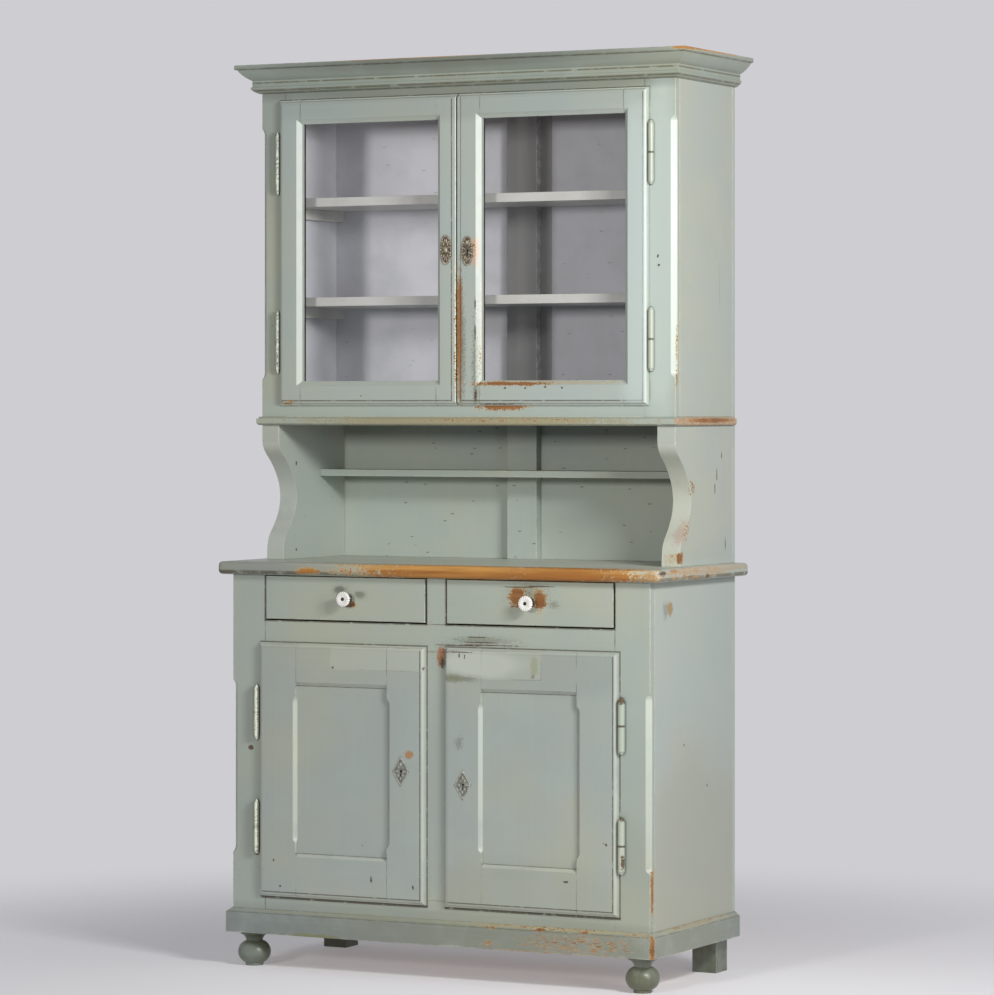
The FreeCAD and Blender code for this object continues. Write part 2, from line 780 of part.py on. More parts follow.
def panel_door(side, diamond_inset, diamond_level, names):
    """A cupboard door: moulded lip, framed flat panel with stopped chamfers, escutcheon and lock."""
    face = front - lip_proud
    lip_back = front - touch_gap
    body_back = front + panel_door_body
    outer = lower_opening_edge + lip_overlap
    inner = post_half - lip_overlap
    low = opening_bottom - lip_overlap
    high = opening_top + lip_overlap
    inset = lip_overlap + edge_gap
    blank = merged([
        box(inner, outer, face, lip_back, low, high),
        box(inner + inset, outer - inset, lip_back - overrun, body_back, low + inset, high - inset),
    ])
    x0 = inner + panel_door_inner_stile
    x1 = outer - panel_door_stile
    z0 = low + panel_door_bottom_rail
    z1 = high - panel_door_top_rail
    panel_front = face + panel_recess
    panel_back = panel_front + panel_thickness
    cuts = lip_cuts(inner, outer, low, high, face, ("left", "right", "bottom", "top"))
    cuts.append(box(x0, x1, face - overrun, body_back + overrun, z0, z1))
    groove = box(x0 - panel_tongue, x1 + panel_tongue, panel_front, panel_back,
                 z0 - panel_tongue, z1 + panel_tongue)
    cuts.append(groove)
    low_stop = z0 + panel_chamfer_margin
    high_stop = z1 - panel_chamfer_margin
    cuts.append(stopped_chamfer(x0, face, -1, 1, panel_chamfer, low_stop, high_stop, panel_chamfer_run))
    cuts.append(stopped_chamfer(x1, face, 1, 1, panel_chamfer, low_stop, high_stop, panel_chamfer_run))
    cuts += rail_chamfers(x0, x1, z0, z1, face, panel_chamfer)
    flip = (lambda shape: mirrored(shape)) if side < 0 else (lambda shape: shape)
    cuts += [door_leaf("lower_right", seam) for seam in hinge_seams("lower_right")]
    x_key = inner + diamond_inset
    z_key = diamond_level
    cuts.append(keyhole(x_key, z_key, face - overrun, body_back + overrun))
    frame = cut_all(blank, cuts)
    save(names["frame"], *[flip(member) for member in split_frame(frame, x0, x1)])
    panel = box(x0 - panel_tongue, x1 + panel_tongue, panel_front, panel_back,
                z0 - panel_tongue, z1 + panel_tongue)
    save(names["panel"], flip(panel))
    save(names["escutcheon"], flip(diamond(x_key, z_key, face)))
    lock(side * (inner + inset), side, side * x_key, z_key, body_back, (names["lock"], names["bolt"]))


def split_frame(frame, x0, x1):
    """Cut a door frame into its two stiles and two rails along the panel's edges."""
    size = frame.BoundBox
    y0, y1 = size.YMin - overrun, size.YMax + overrun
    z0, z1 = size.ZMin - overrun, size.ZMax + overrun
    left = frame.common(box(size.XMin - overrun, x0, y0, y1, z0, z1))
    middle = frame.common(box(x0, x1, y0, y1, z0, z1))
    right = frame.common(box(x1, size.XMax + overrun, y0, y1, z0, z1))
    return [left, right] + list(middle.Solids)


def lip_cuts(x0, x1, z0, z1, face, sides):
    """Cutters for the quarter-round moulding along the named sides of a door's lip."""
    inner = lip_fillet + lip_ovolo
    shelf = lip_proud - lip_edge
    along_x, along_z = V(x1 - x0 + 2 * overrun, 0, 0), V(0, 0, z1 - z0 + 2 * overrun)

    def section(place):
        centre = place(inner, lip_ovolo)
        start = place(lip_fillet, lip_ovolo)
        end = place(inner, 0)
        return outline_face([
            place(-overrun, shelf), place(lip_fillet, shelf), start, quarter(centre, start, end),
            place(inner, -overrun), place(-overrun, -overrun)])

    runs = {
        "left": (lambda s, d: V(x0 + s, face + d, z0 - overrun), along_z),
        "right": (lambda s, d: V(x1 - s, face + d, z0 - overrun), along_z),
        "bottom": (lambda s, d: V(x0 - overrun, face + d, z0 + s), along_x),
        "top": (lambda s, d: V(x0 - overrun, face + d, z1 - s), along_x),
    }
    return [section(runs[side][0]).extrude(runs[side][1]) for side in sides]


def rail_chamfers(x0, x1, z0, z1, face, size):
    """Through chamfers on the rails above and below an opening."""
    cuts = []
    for z, out in ((z0, -1), (z1, 1)):
        steps = [V(x0, face, z + out * size), V(x0, face + size, z), V(x0, face - overrun, z),
                 V(x0, face - overrun, z + out * size)]
        cuts.append(edge_prism(steps, V(x1 - x0, 0, 0)))
    return cuts


def frame_chamfers(x0, x1, z0, z1, face, size):
    """A chamfer all round a rectangular opening, mitred at its corners."""
    outer = outline_face([V(x0 - size, face, z0 - size), V(x1 + size, face, z0 - size),
                          V(x1 + size, face, z1 + size), V(x0 - size, face, z1 + size)])
    inner = outline_face([V(x0, face + size, z0), V(x1, face + size, z0),
                          V(x1, face + size, z1), V(x0, face + size, z1)])
    return Part.makeLoft([outer.OuterWire, inner.OuterWire], True, True)


def diamond(x, z, face):
    """A lozenge keyhole plate with hollowed sides."""
    half_w, half_h = diamond_width / 2, diamond_height / 2
    y = face - plate_thickness
    pull_w, pull_h = half_w * 2 / 5, half_h * 2 / 5
    steps = [
        V(x - half_w, y, z),
        (V(x - pull_w, y, z + pull_h), V(x, y, z + half_h)),
        (V(x + pull_w, y, z + pull_h), V(x + half_w, y, z)),
        (V(x + pull_w, y, z - pull_h), V(x, y, z - half_h)),
        (V(x - pull_w, y, z - pull_h), V(x - half_w, y, z)),
    ]
    edges = []
    at = steps[0]
    for middle, end in steps[1:]:
        edges.append(Part.Arc(at, middle, end).toShape())
        at = end
    plate = Part.Face(Part.Wire(edges)).extrude(V(0, plate_thickness, 0))
    return plate.cut(keyhole(x, z, y - overrun, face + overrun))


def oval(x, z, face, open_keyhole):
    """An upright oval plate with a raised oval boss, with or without a keyhole."""
    def ellipse(width, height, y, thickness):
        curve = Part.Ellipse(V(0, 0, 0), height / 2, width / 2)
        shape = Part.Face(Part.Wire(curve.toShape())).extrude(V(0, 0, thickness))
        shape.rotate(V(0, 0, 0), V(0, 0, 1), 90)
        shape.rotate(V(0, 0, 0), V(1, 0, 0), 90)
        shape.translate(V(x, y, z))
        return shape
    plate = ellipse(oval_width, oval_height, face, plate_thickness)
    boss = ellipse(oval_boss_width, oval_boss_height, face, plate_thickness + boss_thickness)
    shape = merged([plate, boss])
    if open_keyhole:
        deep = plate_thickness + boss_thickness
        shape = shape.cut(keyhole(x, z, face - deep - overrun, face + overrun))
    return shape


# Glazed doors
def glass_door(kind, names):
    """A glazed door: moulded lip on three sides, chamfered sight edge, pane held by beads."""
    left_door = kind == "upper_left"
    face = upper_front - lip_proud
    lip_back = upper_front - touch_gap
    body_back = upper_front + glass_door_body
    low = glass_opening_bottom - lip_overlap
    high = glass_opening_top + lip_overlap
    inset = lip_overlap + edge_gap
    if left_door:
        x0 = glass_left_edge - lip_overlap
        x1 = glass_door_meeting - glass_meeting_gap / 2
        body_x0, body_x1 = x0 + inset, x1
        left_stile, right_stile = glass_hinge_stile, glass_left_meeting_stile
        sides = ("left", "bottom", "top")
    else:
        x0 = glass_door_meeting + glass_meeting_gap / 2
        x1 = glass_right_edge + lip_overlap
        body_x0, body_x1 = x0, x1 - inset
        left_stile, right_stile = glass_right_meeting_stile, glass_hinge_stile
        sides = ("right", "bottom", "top")
    blank = merged([
        box(x0, x1, face, lip_back, low, high),
        box(body_x0, body_x1, lip_back - overrun, body_back, low + inset, high - inset),
    ])
    sight_x0, sight_x1 = x0 + left_stile, x1 - right_stile
    sight_z0, sight_z1 = low + glass_rail, high - glass_rail
    glass_front = face + glass_chamfer + glass_sight_depth
    cuts = lip_cuts(x0, x1, low, high, face, sides)
    cuts.append(box(sight_x0, sight_x1, face - overrun, body_back + overrun, sight_z0, sight_z1))
    cuts.append(frame_chamfers(sight_x0, sight_x1, sight_z0, sight_z1, face, glass_chamfer))
    cuts.append(box(sight_x0 - glass_rebate, sight_x1 + glass_rebate, glass_front, body_back + overrun,
                    sight_z0 - glass_rebate, sight_z1 + glass_rebate))
    cuts.append(meeting_cut(left_door, x0, x1, face, low, high))
    cuts += [door_leaf(kind, seam) for seam in hinge_seams(kind)]
    if left_door:
        x_plate = x1 - left_oval_inset
        z_plate = left_oval_level
    else:
        x_plate = x0 + right_oval_inset
        z_plate = right_oval_level
        cuts.append(keyhole(x_plate, z_plate, face - overrun, body_back + overrun))
    frame = cut_all(blank, cuts)
    save(names["frame"], *split_frame(frame, sight_x0, sight_x1))
    grip = glass_rebate - glass_play
    pane_back = glass_front + glass_thickness
    save(names["glass"], box(sight_x0 - grip, sight_x1 + grip, glass_front, pane_back,
                             sight_z0 - grip, sight_z1 + grip))
    save(names["beads"], *beads(sight_x0, sight_x1, sight_z0, sight_z1, pane_back, body_back))
    save(names["escutcheon"], oval(x_plate, z_plate, face, not left_door))
    if left_door:
        left_door_bolts(low + inset, high - inset, body_back)
    else:
        lock(x0, 1, x_plate, z_plate, body_back, (names["lock"], names["bolt"]))


def meeting_cut(left_door, x0, x1, face, low, high):
    """The softened edge of the left door, or the quirk beside the bead of the right door."""
    if left_door:
        centre = V(x1 - meeting_round, face + meeting_round, low - overrun)
        start = V(x1 - meeting_round, face, low - overrun)
        end = V(x1, face + meeting_round, low - overrun)
        steps = [start, quarter(centre, start, end), V(x1 + overrun, face + meeting_round, low - overrun),
                 V(x1 + overrun, face - overrun, low - overrun),
                 V(x1 - meeting_round, face - overrun, low - overrun)]
        return edge_prism(steps, V(0, 0, high - low + 2 * overrun))
    quirk = x0 + meeting_bead
    return box(quirk, quirk + meeting_quirk, face - overrun, face + 2 * meeting_quirk,
               low - overrun, high + overrun)


def beads(x0, x1, z0, z1, y0, y1):
    """Four three-sided glazing beads behind the pane, mitred at the corners."""
    wide = glass_rebate
    ring = box(x0 - wide, x1 + wide, y0, y1, z0 - wide, z1 + wide)
    ring = ring.cut(box(x0, x1, y0 - wide, y1 + wide, z0, z1))
    flare = Part.makeLoft([
        outline_face([V(x0, y0, z0), V(x1, y0, z0), V(x1, y0, z1), V(x0, y0, z1)]).OuterWire,
        outline_face([V(x0 - wide + touch_gap, y1, z0 - wide + touch_gap),
                      V(x1 + wide - touch_gap, y1, z0 - wide + touch_gap),
                      V(x1 + wide - touch_gap, y1, z1 + wide - touch_gap),
                      V(x0 - wide + touch_gap, y1, z1 + wide - touch_gap)]).OuterWire], True, True)
    ring = ring.cut(flare)
    left = ring.common(box(x0 - wide, x0, y0, y1, z0 - wide, z1 + wide))
    right = ring.common(box(x1, x1 + wide, y0, y1, z0 - wide, z1 + wide))
    middle = ring.common(box(x0, x1, y0, y1, z0 - wide, z1 + wide))
    return [left, right] + list(middle.Solids)


# Slide bolts that hold the left glazed door, at its top and bottom
def bolt_column():
    """X range of the left door's slide bolts, kept clear of the stile's edges."""
    edge = glass_door_meeting - glass_meeting_gap / 2
    x1 = edge - bolt_plate_inset
    return x1 - door_bolt_width, x1


def bolt_depth():
    """Y range of the slide bolts, on the back of the door."""
    y0 = upper_front + glass_door_body + door_bolt_recess
    return y0, y0 + door_bolt_thickness


def left_door_bolts(low, high, y_face):
    """The two slide bolts and the keepers that they run in."""
    x0, x1 = bolt_column()
    y0, y1 = bolt_depth()
    middle = (x0 + x1) / 2
    plates = []
    for end, way, name in ((high, 1, "left_door_top_bolt"), (low, -1, "left_door_bottom_bolt")):
        tip = end - way * door_bolt_margin
        tail = tip - way * door_bolt_length
        bar = box(x0, x1, y0, y1, min(tip, tail), max(tip, tail))
        knob = cylinder(bolt_knob_radius, bolt_knob_height, V(middle, y1, tail + way * 2 * bolt_knob_radius),
                        V(0, 1, 0))
        save(name, merged([bar, knob]))
        start = tip - way * overrun
        stop = start - way * bolt_plate_height
        half = bolt_plate_width / 2
        cover = y1 + slide_fit + bolt_plate_cover
        keeper = box(middle - half, middle + half, y_face, cover, min(start, stop), max(start, stop))
        channel = box(x0 - slide_fit, x1 + slide_fit, y0 - slide_fit, y1 + slide_fit,
                      min(start, stop) - overrun, max(start, stop) + overrun)
        plates.append(keeper.cut(channel))
    save("left_door_bolt_keepers", *plates)


def bolt_sockets():
    """Sockets in the rails above and below the left glazed door for its slide bolts."""
    x0, x1 = bolt_column()
    y0, y1 = bolt_depth()
    fit = 2 * slide_fit
    reach = door_bolt_travel
    top = box(x0 - fit, x1 + fit, y0 - fit, y1 + fit, glass_opening_top - overrun, glass_opening_top + reach)
    bottom = box(x0 - fit, x1 + fit, y0 - fit, y1 + fit,
                 glass_opening_bottom - reach, glass_opening_bottom + overrun)
    return [top, bottom]


# Drawers and knobs
def drawer(side, knob_offset, names):
    """A drawer: front, box of sides, back and bottom, porcelain knob with its collar and screw."""
    x_in = muntin_half + drawer_gap
    x_out = lower_opening_edge - drawer_gap
    x0, x1 = (x_in, x_out) if side > 0 else (-x_out, -x_in)
    z0 = drawer_floor + touch_gap
    z1 = counter_under - drawer_head_gap
    front_back = front + drawer_front_thickness
    slab = box(x0, x1 + drawer_gap - drawer_right_gap, front, front_back, drawer_floor + drawer_foot_gap, z1)
    rims = [edge for edge in slab.Edges if edge.BoundBox.YMax < front + touch_gap]
    panel = slab.makeFillet(drawer_front_round, rims)
    knob_x = (x0 + x1) / 2 + knob_offset
    knob_z = drawer_floor + knob_rise
    hole = cylinder(knob_screw_radius + slide_fit, drawer_front_thickness + 2 * overrun,
                    V(knob_x, front - overrun, knob_z), V(0, 1, 0))
    save(names["front"], panel.cut(hole))

    top = z1 - drawer_side_drop
    rear = back_face - drawer_rear_clearance
    floor0 = z0 + drawer_bottom_rise
    floor1 = floor0 + drawer_bottom_thickness
    inner0, inner1 = x0 + drawer_side_thickness, x1 - drawer_side_thickness
    groove = box(inner0 - drawer_groove, inner1 + drawer_groove, front_back, rear, floor0, floor1)
    left = box(x0, inner0, front_back, rear, z0, top).cut(groove)
    right = box(inner1, x1, front_back, rear, z0, top).cut(groove)
    rear_board = box(inner0, inner1, rear - drawer_side_thickness, rear, floor1, top)
    bottom = box(inner0 - drawer_groove, inner1 + drawer_groove, front_back, rear, floor0, floor1)
    save(names["box"], left, right, rear_board, bottom)
    save(names["knob"], knob(knob_x, knob_z))
    head_y = front - knob_projection + knob_rim / 2
    shank = cylinder(knob_screw_radius, knob_projection - knob_rim / 2 + drawer_front_thickness
                     + knob_screw_bite / 2, V(knob_x, head_y, knob_z), V(0, 1, 0))
    head = cylinder(knob_screw_head_radius, knob_screw_head, V(knob_x, head_y - knob_screw_head, knob_z),
                    V(0, 1, 0))
    nut = cylinder(knob_screw_head_radius, knob_screw_bite / 2, V(knob_x, front_back, knob_z), V(0, 1, 0))
    save(names["screw"], merged([shank, head, nut]), knob_collar(knob_x, knob_z))


def knob_bore(radius):
    """Cutter for the screw's way along the knob's axis."""
    return cylinder(radius + pin_fit, knob_projection + 2 * overrun,
                    V(0, front - knob_projection - overrun, 0), V(0, 1, 0))


def knob_collar(x, z):
    """The turned metal collar between the drawer front and the porcelain head."""
    rim = front - knob_collar_length
    flange = front - knob_base_thickness
    steps = [V(0, front, 0), V(knob_base_radius, front, 0), V(knob_base_radius, flange, 0),
             V(knob_neck_radius, flange - knob_base_thickness, 0), V(knob_neck_radius, rim, 0), V(0, rim, 0)]
    collar = outline_face(steps).revolve(V(0, 0, 0), V(0, 1, 0), 360).cut(knob_bore(knob_screw_radius))
    collar.translate(V(x, 0, z))
    return collar


def knob(x, z):
    """A porcelain knob head with a lobed rim, a flat face sunk for the screw and a coned back."""
    tip = front - knob_projection
    rim_back = tip + knob_rim
    head_back = front - knob_collar_length
    sink = knob_rim / 4
    well = knob_screw_head_radius + pin_fit
    steps = [
        V(0, head_back, 0), V(knob_neck_radius + sink, head_back, 0), V(knob_radius, rim_back, 0),
        V(knob_radius, rim_back - knob_rim / 3, 0), V(knob_radius - knob_rim / 3, tip + sink, 0),
        V(knob_screw_head_radius + knob_rim / 3, tip, 0), V(well, tip + sink, 0), V(0, tip + sink, 0),
    ]
    body = outline_face(steps).revolve(V(0, 0, 0), V(0, 1, 0), 360)
    flute = knob_rim / 3
    ring = knob_radius + flute - knob_lobe_depth
    cuts = [knob_bore(knob_screw_radius)]
    for lobe in range(knob_lobes):
        angle = 2 * pi * lobe / knob_lobes
        place = V(ring * cos(angle), tip - overrun, ring * sin(angle))
        cuts.append(cylinder(flute, knob_rim + 2 * overrun, place, V(0, 1, 0)))
    cuts.append(cylinder(well, knob_rim / 2 + overrun, V(0, tip - overrun, 0), V(0, 1, 0)))
    shape = cut_all(body, cuts)
    shape.translate(V(x, 0, z))
    return shape


lower_case()
plinth_and_feet()
niche()
upper_case()
shelf_cleats()
hinges()
glass_door("upper_left", {"frame": "left_glass_door_frame", "glass": "left_glass_pane",
                          "beads": "left_glazing_beads", "escutcheon": "left_oval_plate"})
glass_door("upper_right", {"frame": "right_glass_door_frame", "glass": "right_glass_pane",
                           "beads": "right_glazing_beads", "escutcheon": "right_oval_escutcheon",
                           "lock": "glass_door_lock_case", "bolt": "glass_door_lock_bolt"})
panel_door(-1, left_diamond_inset, left_diamond_level,
           {"frame": "left_cupboard_door_frame", "panel": "left_cupboard_door_panel",
            "escutcheon": "left_diamond_escutcheon", "lock": "left_cupboard_lock_case",
            "bolt": "left_cupboard_lock_bolt"})
panel_door(1, right_diamond_inset, right_diamond_level,
           {"frame": "right_cupboard_door_frame", "panel": "right_cupboard_door_panel",
            "escutcheon": "right_diamond_escutcheon", "lock": "right_cupboard_lock_case",
            "bolt": "right_cupboard_lock_bolt"})
drawer(-1, left_knob_offset, {"front": "left_drawer_front", "box": "left_drawer_box",
                              "knob": "left_drawer_knob", "screw": "left_knob_screw_and_collar"})
drawer(1, right_knob_offset, {"front": "right_drawer_front", "box": "right_drawer_box",
                              "knob": "right_drawer_knob", "screw": "right_knob_screw_and_collar"})
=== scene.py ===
# %% [markdown]
# # A painted pine buffet cabinet
# An old kitchen buffet: a cupboard with two drawers and two panelled doors, an open niche, and a
# set-back glazed case on top. The construction model already gives every board its true size and
# place, so this lesson is about surfaces. It shows how softened edges, wood grain, worn paint and a
# few small pieces of hardware turn clean solids into an old piece of furniture.

# %% Load the cabinet
import json
from functools import reduce
from math import atan2, cos, pi, radians, sin
import bmesh
import bpy
import numpy as np
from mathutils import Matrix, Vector


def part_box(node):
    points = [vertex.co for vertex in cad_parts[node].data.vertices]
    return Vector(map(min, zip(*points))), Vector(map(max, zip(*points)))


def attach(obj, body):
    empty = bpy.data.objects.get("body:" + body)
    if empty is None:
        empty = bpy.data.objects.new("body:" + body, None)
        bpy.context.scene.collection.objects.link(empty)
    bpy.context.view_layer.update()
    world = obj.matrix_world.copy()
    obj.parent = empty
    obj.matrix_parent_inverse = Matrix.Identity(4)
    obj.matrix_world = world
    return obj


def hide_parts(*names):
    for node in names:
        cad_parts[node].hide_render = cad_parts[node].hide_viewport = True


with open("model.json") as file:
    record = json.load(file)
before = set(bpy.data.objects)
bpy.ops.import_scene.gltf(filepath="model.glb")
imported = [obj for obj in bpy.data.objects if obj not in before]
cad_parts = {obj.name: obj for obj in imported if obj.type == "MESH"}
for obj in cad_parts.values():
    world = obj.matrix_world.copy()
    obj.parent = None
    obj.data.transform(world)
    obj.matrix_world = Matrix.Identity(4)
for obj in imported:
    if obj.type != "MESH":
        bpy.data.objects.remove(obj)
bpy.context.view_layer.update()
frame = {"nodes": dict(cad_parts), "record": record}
nodes = frame["nodes"]
body_of = {node: body for body, held in frame["record"]["behaviour"]["bodies"].items() for node in held}
slot_of = {part["node"]: part["material_slot"] for part in frame["record"]["subparts"]}


def select_only(*pieces):
    """Select these objects and no others; the last one is the active one."""
    bpy.ops.object.select_all(action="DESELECT")
    for piece in pieces:
        piece.select_set(True)
        bpy.context.view_layer.objects.active = piece


# %% [markdown]
# ## Camera
# The camera stands a good nine metres away, level, at about the height of the wall shelf, and looks
# at the cabinet from its right. A long lens from far away keeps upright boards upright and makes the
# level boards slope only a little. The picture's horizon is above its middle, so the lens is
# shifted instead of tilted: a tilted camera would make the upright boards lean.

# %% Place the camera
HORIZON_ROW = 408.8
FRAME_ROWS = 995.0
FOCAL_ROWS = 4124.3
SENSOR = 36.0
scene = bpy.context.scene
camera_data = bpy.data.cameras.new("camera")
camera_data.sensor_width = SENSOR
camera_data.lens = FOCAL_ROWS / FRAME_ROWS * SENSOR
camera_data.shift_y = (HORIZON_ROW - FRAME_ROWS / 2) / FRAME_ROWS
camera = bpy.data.objects.new("camera", camera_data)
camera.location = (4.2067, -8.0454, 1.2325)
camera.rotation_euler = (pi / 2, 0, radians(27.368))
scene.collection.objects.link(camera)
scene.camera = camera
scene.view_settings.view_transform = "Standard"
print("lens", round(camera_data.lens, 1), "mm, shift", round(camera_data.shift_y, 4))

# %% [markdown]
# ## Light
# Three soft lamps make the picture. A level one far in front throws the shadows of the door stiles
# straight back on to the back boards. A small high one near the right end makes the right side and
# the upper right of the front bright and leaves the far corner dim. A tall strip like a window shines
# back from the chamfers that face it. A weak even world light fills what none of them reaches. The
# lamps are hidden from the camera. The front one is also hidden from reflections, because it would
# stand in the panes as a white square.

# %% Add the lamps
def area_lamp(name, place, target, wide, tall, watts, tint):
    """A rectangular soft light that faces a target."""
    data = bpy.data.lights.new(name, "AREA")
    data.shape, data.size, data.size_y, data.energy, data.color = "RECTANGLE", wide, tall, watts, tint
    lamp = bpy.data.objects.new(name, data)
    lamp.location = place
    lamp.rotation_euler = (Vector(target) - Vector(place)).to_track_quat("-Z", "Y").to_euler()
    lamp.visible_camera = False
    scene.collection.objects.link(lamp)
    return lamp


front_lamp = area_lamp("front_lamp", (-0.35, -6.0, 1.88), (0, 0, 1.25), 0.6, 0.6, 129, (1, 0.985, 0.96))
front_lamp.visible_glossy = False
high_lamp = area_lamp("high_lamp", (2.4, -1.5, 1.95), (0.1, 0, 1.05), 0.8, 0.3, 57, (1.0, 0.995, 0.98))
window_lamp = area_lamp("window_lamp", (3.7, -1.74, 1.45), (0.3, 0, 1.1), 0.65, 2.0, 42, (0.98, 1, 1))
print("lamps", front_lamp.name, high_lamp.name, window_lamp.name)

# %% [markdown]
# ## Shader arithmetic
# A node material is a sum of small calculations. Writing each one as a node with links is long and
# hard to read, so one class wraps a socket and lets the usual signs build the Math nodes. A second
# class holds the material and adds any other node from its type, its settings and its inputs.

# %% Turn screen colours and signs into shader terms
def linear(red, green, blue):
    """A screen colour from 0 to 255 as the linear colour that shaders use."""
    values = [channel / 255 for channel in (red, green, blue)]
    return tuple(v / 12.92 if v <= 0.04045 else ((v + 0.055) / 1.055) ** 2.4 for v in values) + (1.0,)


class Wire:
    """One output socket, with arithmetic that adds Math nodes."""
    def __init__(self, paint, socket):
        self.paint, self.socket = paint, socket

    def calc(self, operation, *others):
        return self.paint.node("ShaderNodeMath", {"operation": operation}, [self, *others])

    def __add__(self, other): return self.calc("ADD", other)
    __radd__ = __add__
    def __rsub__(self, other):
        return self.paint.node("ShaderNodeMath", {"operation": "SUBTRACT"}, [other, self])

    def __sub__(self, other): return self.calc("SUBTRACT", other)
    def __mul__(self, other): return self.calc("MULTIPLY", other)
    def low(self, other): return self.calc("MINIMUM", other)
    def high(self, other): return self.calc("MAXIMUM", other)
    def size(self): return self.calc("ABSOLUTE")
    def over(self, limit): return self.calc("GREATER_THAN", limit)
    def under(self, limit): return self.calc("LESS_THAN", limit)


print("sage as light", [round(part, 3) for part in linear(158, 167, 159)])

# %% Hold a finish while its nodes are added
class Finish:
    """A node material under construction, or the world's light if a world is given."""
    def __init__(self, name, world=None):
        self.material = world or bpy.data.materials.new(name)
        self.material.use_nodes = True
        self.tree = self.material.node_tree
        self.shader = self.tree.nodes["Background" if world else "Principled BSDF"]

    def node(self, kind, settings=None, inputs=None, output=0):
        """Add a node; inputs are a list by place or a dictionary by name or number."""
        made = self.tree.nodes.new(kind)
        for key, value in (settings or {}).items():
            setattr(made, key, value)
        pairs = enumerate(inputs) if isinstance(inputs, list) else (inputs or {}).items()
        for key, value in pairs:
            self.feed(made.inputs[key], value)
        return Wire(self, made.outputs[output])

    def feed(self, socket, value):
        if isinstance(value, Wire):
            self.tree.links.new(value.socket, socket)
        else:
            socket.default_value = value

    def set(self, **values):
        """Feed the main shader's sockets, underscores standing for spaces."""
        for key, value in values.items():
            self.feed(self.shader.inputs[key.replace("_", " ")], value)

    def place(self):
        """The point on the cabinet, in metres."""
        return self.node("ShaderNodeTexCoord", output=3)

    def attribute(self, name, output=1):
        return self.node("ShaderNodeAttribute", {"attribute_name": name}, output=output)

    def vector(self, operation, *inputs, output=0):
        return self.node("ShaderNodeVectorMath", {"operation": operation}, list(inputs), output)

    def scaled(self, vector, factors):
        return self.vector("MULTIPLY", vector, factors)

    def noise(self, vector, scale, detail=3.0, roughness=0.55):
        return self.node("ShaderNodeTexNoise", inputs={
            "Vector": vector, "Scale": scale, "Detail": detail, "Roughness": roughness})

    def ramp(self, value, low, high):
        """A soft step from 0 to 1 between two values."""
        return self.node("ShaderNodeMapRange", {"interpolation_type": "SMOOTHSTEP"}, [value, low, high])

    def mix(self, factor, one, two):
        """A mix of two colours, each a wire or a screen colour."""
        one, two = (linear(*tone) if isinstance(tone, tuple) else tone for tone in (one, two))
        return self.node("ShaderNodeMix", {"data_type": "RGBA"}, {0: factor, 6: one, 7: two}, output=2)

    def parts(self, vector):
        split = self.node("ShaderNodeSeparateXYZ", inputs=[vector])
        return split, Wire(self, split.socket.node.outputs[1]), Wire(self, split.socket.node.outputs[2])

    def bump(self, height, distance, strength):
        self.set(Normal=self.node("ShaderNodeBump", inputs={
            "Height": height, "Distance": distance, "Strength": strength}))


print("finish ready, with", len([name for name in vars(Finish) if name[0] != "_"]), "ways to add nodes")

# %% [markdown]
# ## Floor and backdrop
# The studio is one plain pale tone. The world shows that tone to the camera and in reflections, and
# gives the cabinet only a weak even light. The floor keeps the soft shadow near the feet, and fades
# into the backdrop some metres away, so no horizon line cuts through the picture from any side.

# %% Lay the floor and set the world
BACKDROP = (206, 205, 210)
WEAK_FILL = (99.09, 100.21, 103.13)
FLOOR_ALPHA = 0.92
world = bpy.data.worlds.new("studio")
scene.world = world
sky = Finish("studio", world)
rays = sky.node("ShaderNodeLightPath").socket.node.outputs
camera_ray, glossy_ray, passing_ray = (
    Wire(sky, rays[kind]) for kind in ("Is Camera Ray", "Is Glossy Ray", "Is Transmission Ray"))
sky.set(Color=sky.mix(camera_ray.high(glossy_ray).high(passing_ray), WEAK_FILL, BACKDROP))

select_only()
bpy.ops.mesh.primitive_plane_add(size=30, location=(0, 0, 0))
floor = bpy.context.active_object
floor.name = "floor"
ground = Finish("pale_floor")
spot = ground.place()
mottle = ground.noise(spot, 1.3, 3.0)
far_off = ground.vector("LENGTH", spot, output=1)
ground.set(Base_Color=ground.mix(mottle, (232, 230, 232), (224, 222, 225)), Roughness=0.85,
           Emission_Color=linear(*BACKDROP), Emission_Strength=0.26,
           Alpha=FLOOR_ALPHA - ground.ramp(far_off, 0.75, 2.3) * FLOOR_ALPHA)
floor.data.materials.append(ground.material)
print("floor laid, backdrop", BACKDROP)

# %% [markdown]
# ## Edge wear as a measured thing
# Paint wears where hands and cloths rub, which is along the edges. A board is a box, so the distance
# from a point on its face to the nearest edge can be worked out from how far the point is from the
# board's six sides. Each board stores its distances to its low sides and to its high sides as two
# vector attributes, turned so that the third number runs along the grain. The shader can then draw
# both grain and edge wear in real millimetres on every board, whichever way it lies.

# %% Find the boards of a node
def board_numbers(mesh):
    """The number of the board each face belongs to: a board ends where its surface is closed."""
    spots = [tuple(vertex.co) for vertex in mesh.vertices]
    waiting, number, numbers = set(), 0, []
    for face in mesh.polygons:
        corners = [spots[vertex] for vertex in face.vertices]
        for start, end in zip(corners, corners[1:] + corners[:1]):
            if (end, start) in waiting:
                waiting.discard((end, start))
            else:
                waiting.add((start, end))
        numbers.append(number)
        if not waiting:
            number += 1
    return numbers


def board_boxes(node):
    """The low and high corners of each board of a construction node."""
    mesh, held = nodes[node].data, {}
    for face, number in zip(mesh.polygons, board_numbers(mesh)):
        held.setdefault(number, []).extend(mesh.vertices[vertex].co for vertex in face.vertices)
    return [[Vector(pick(c[axis] for c in spots) for axis in range(3)) for pick in (min, max)]
            for spots in held.values()]


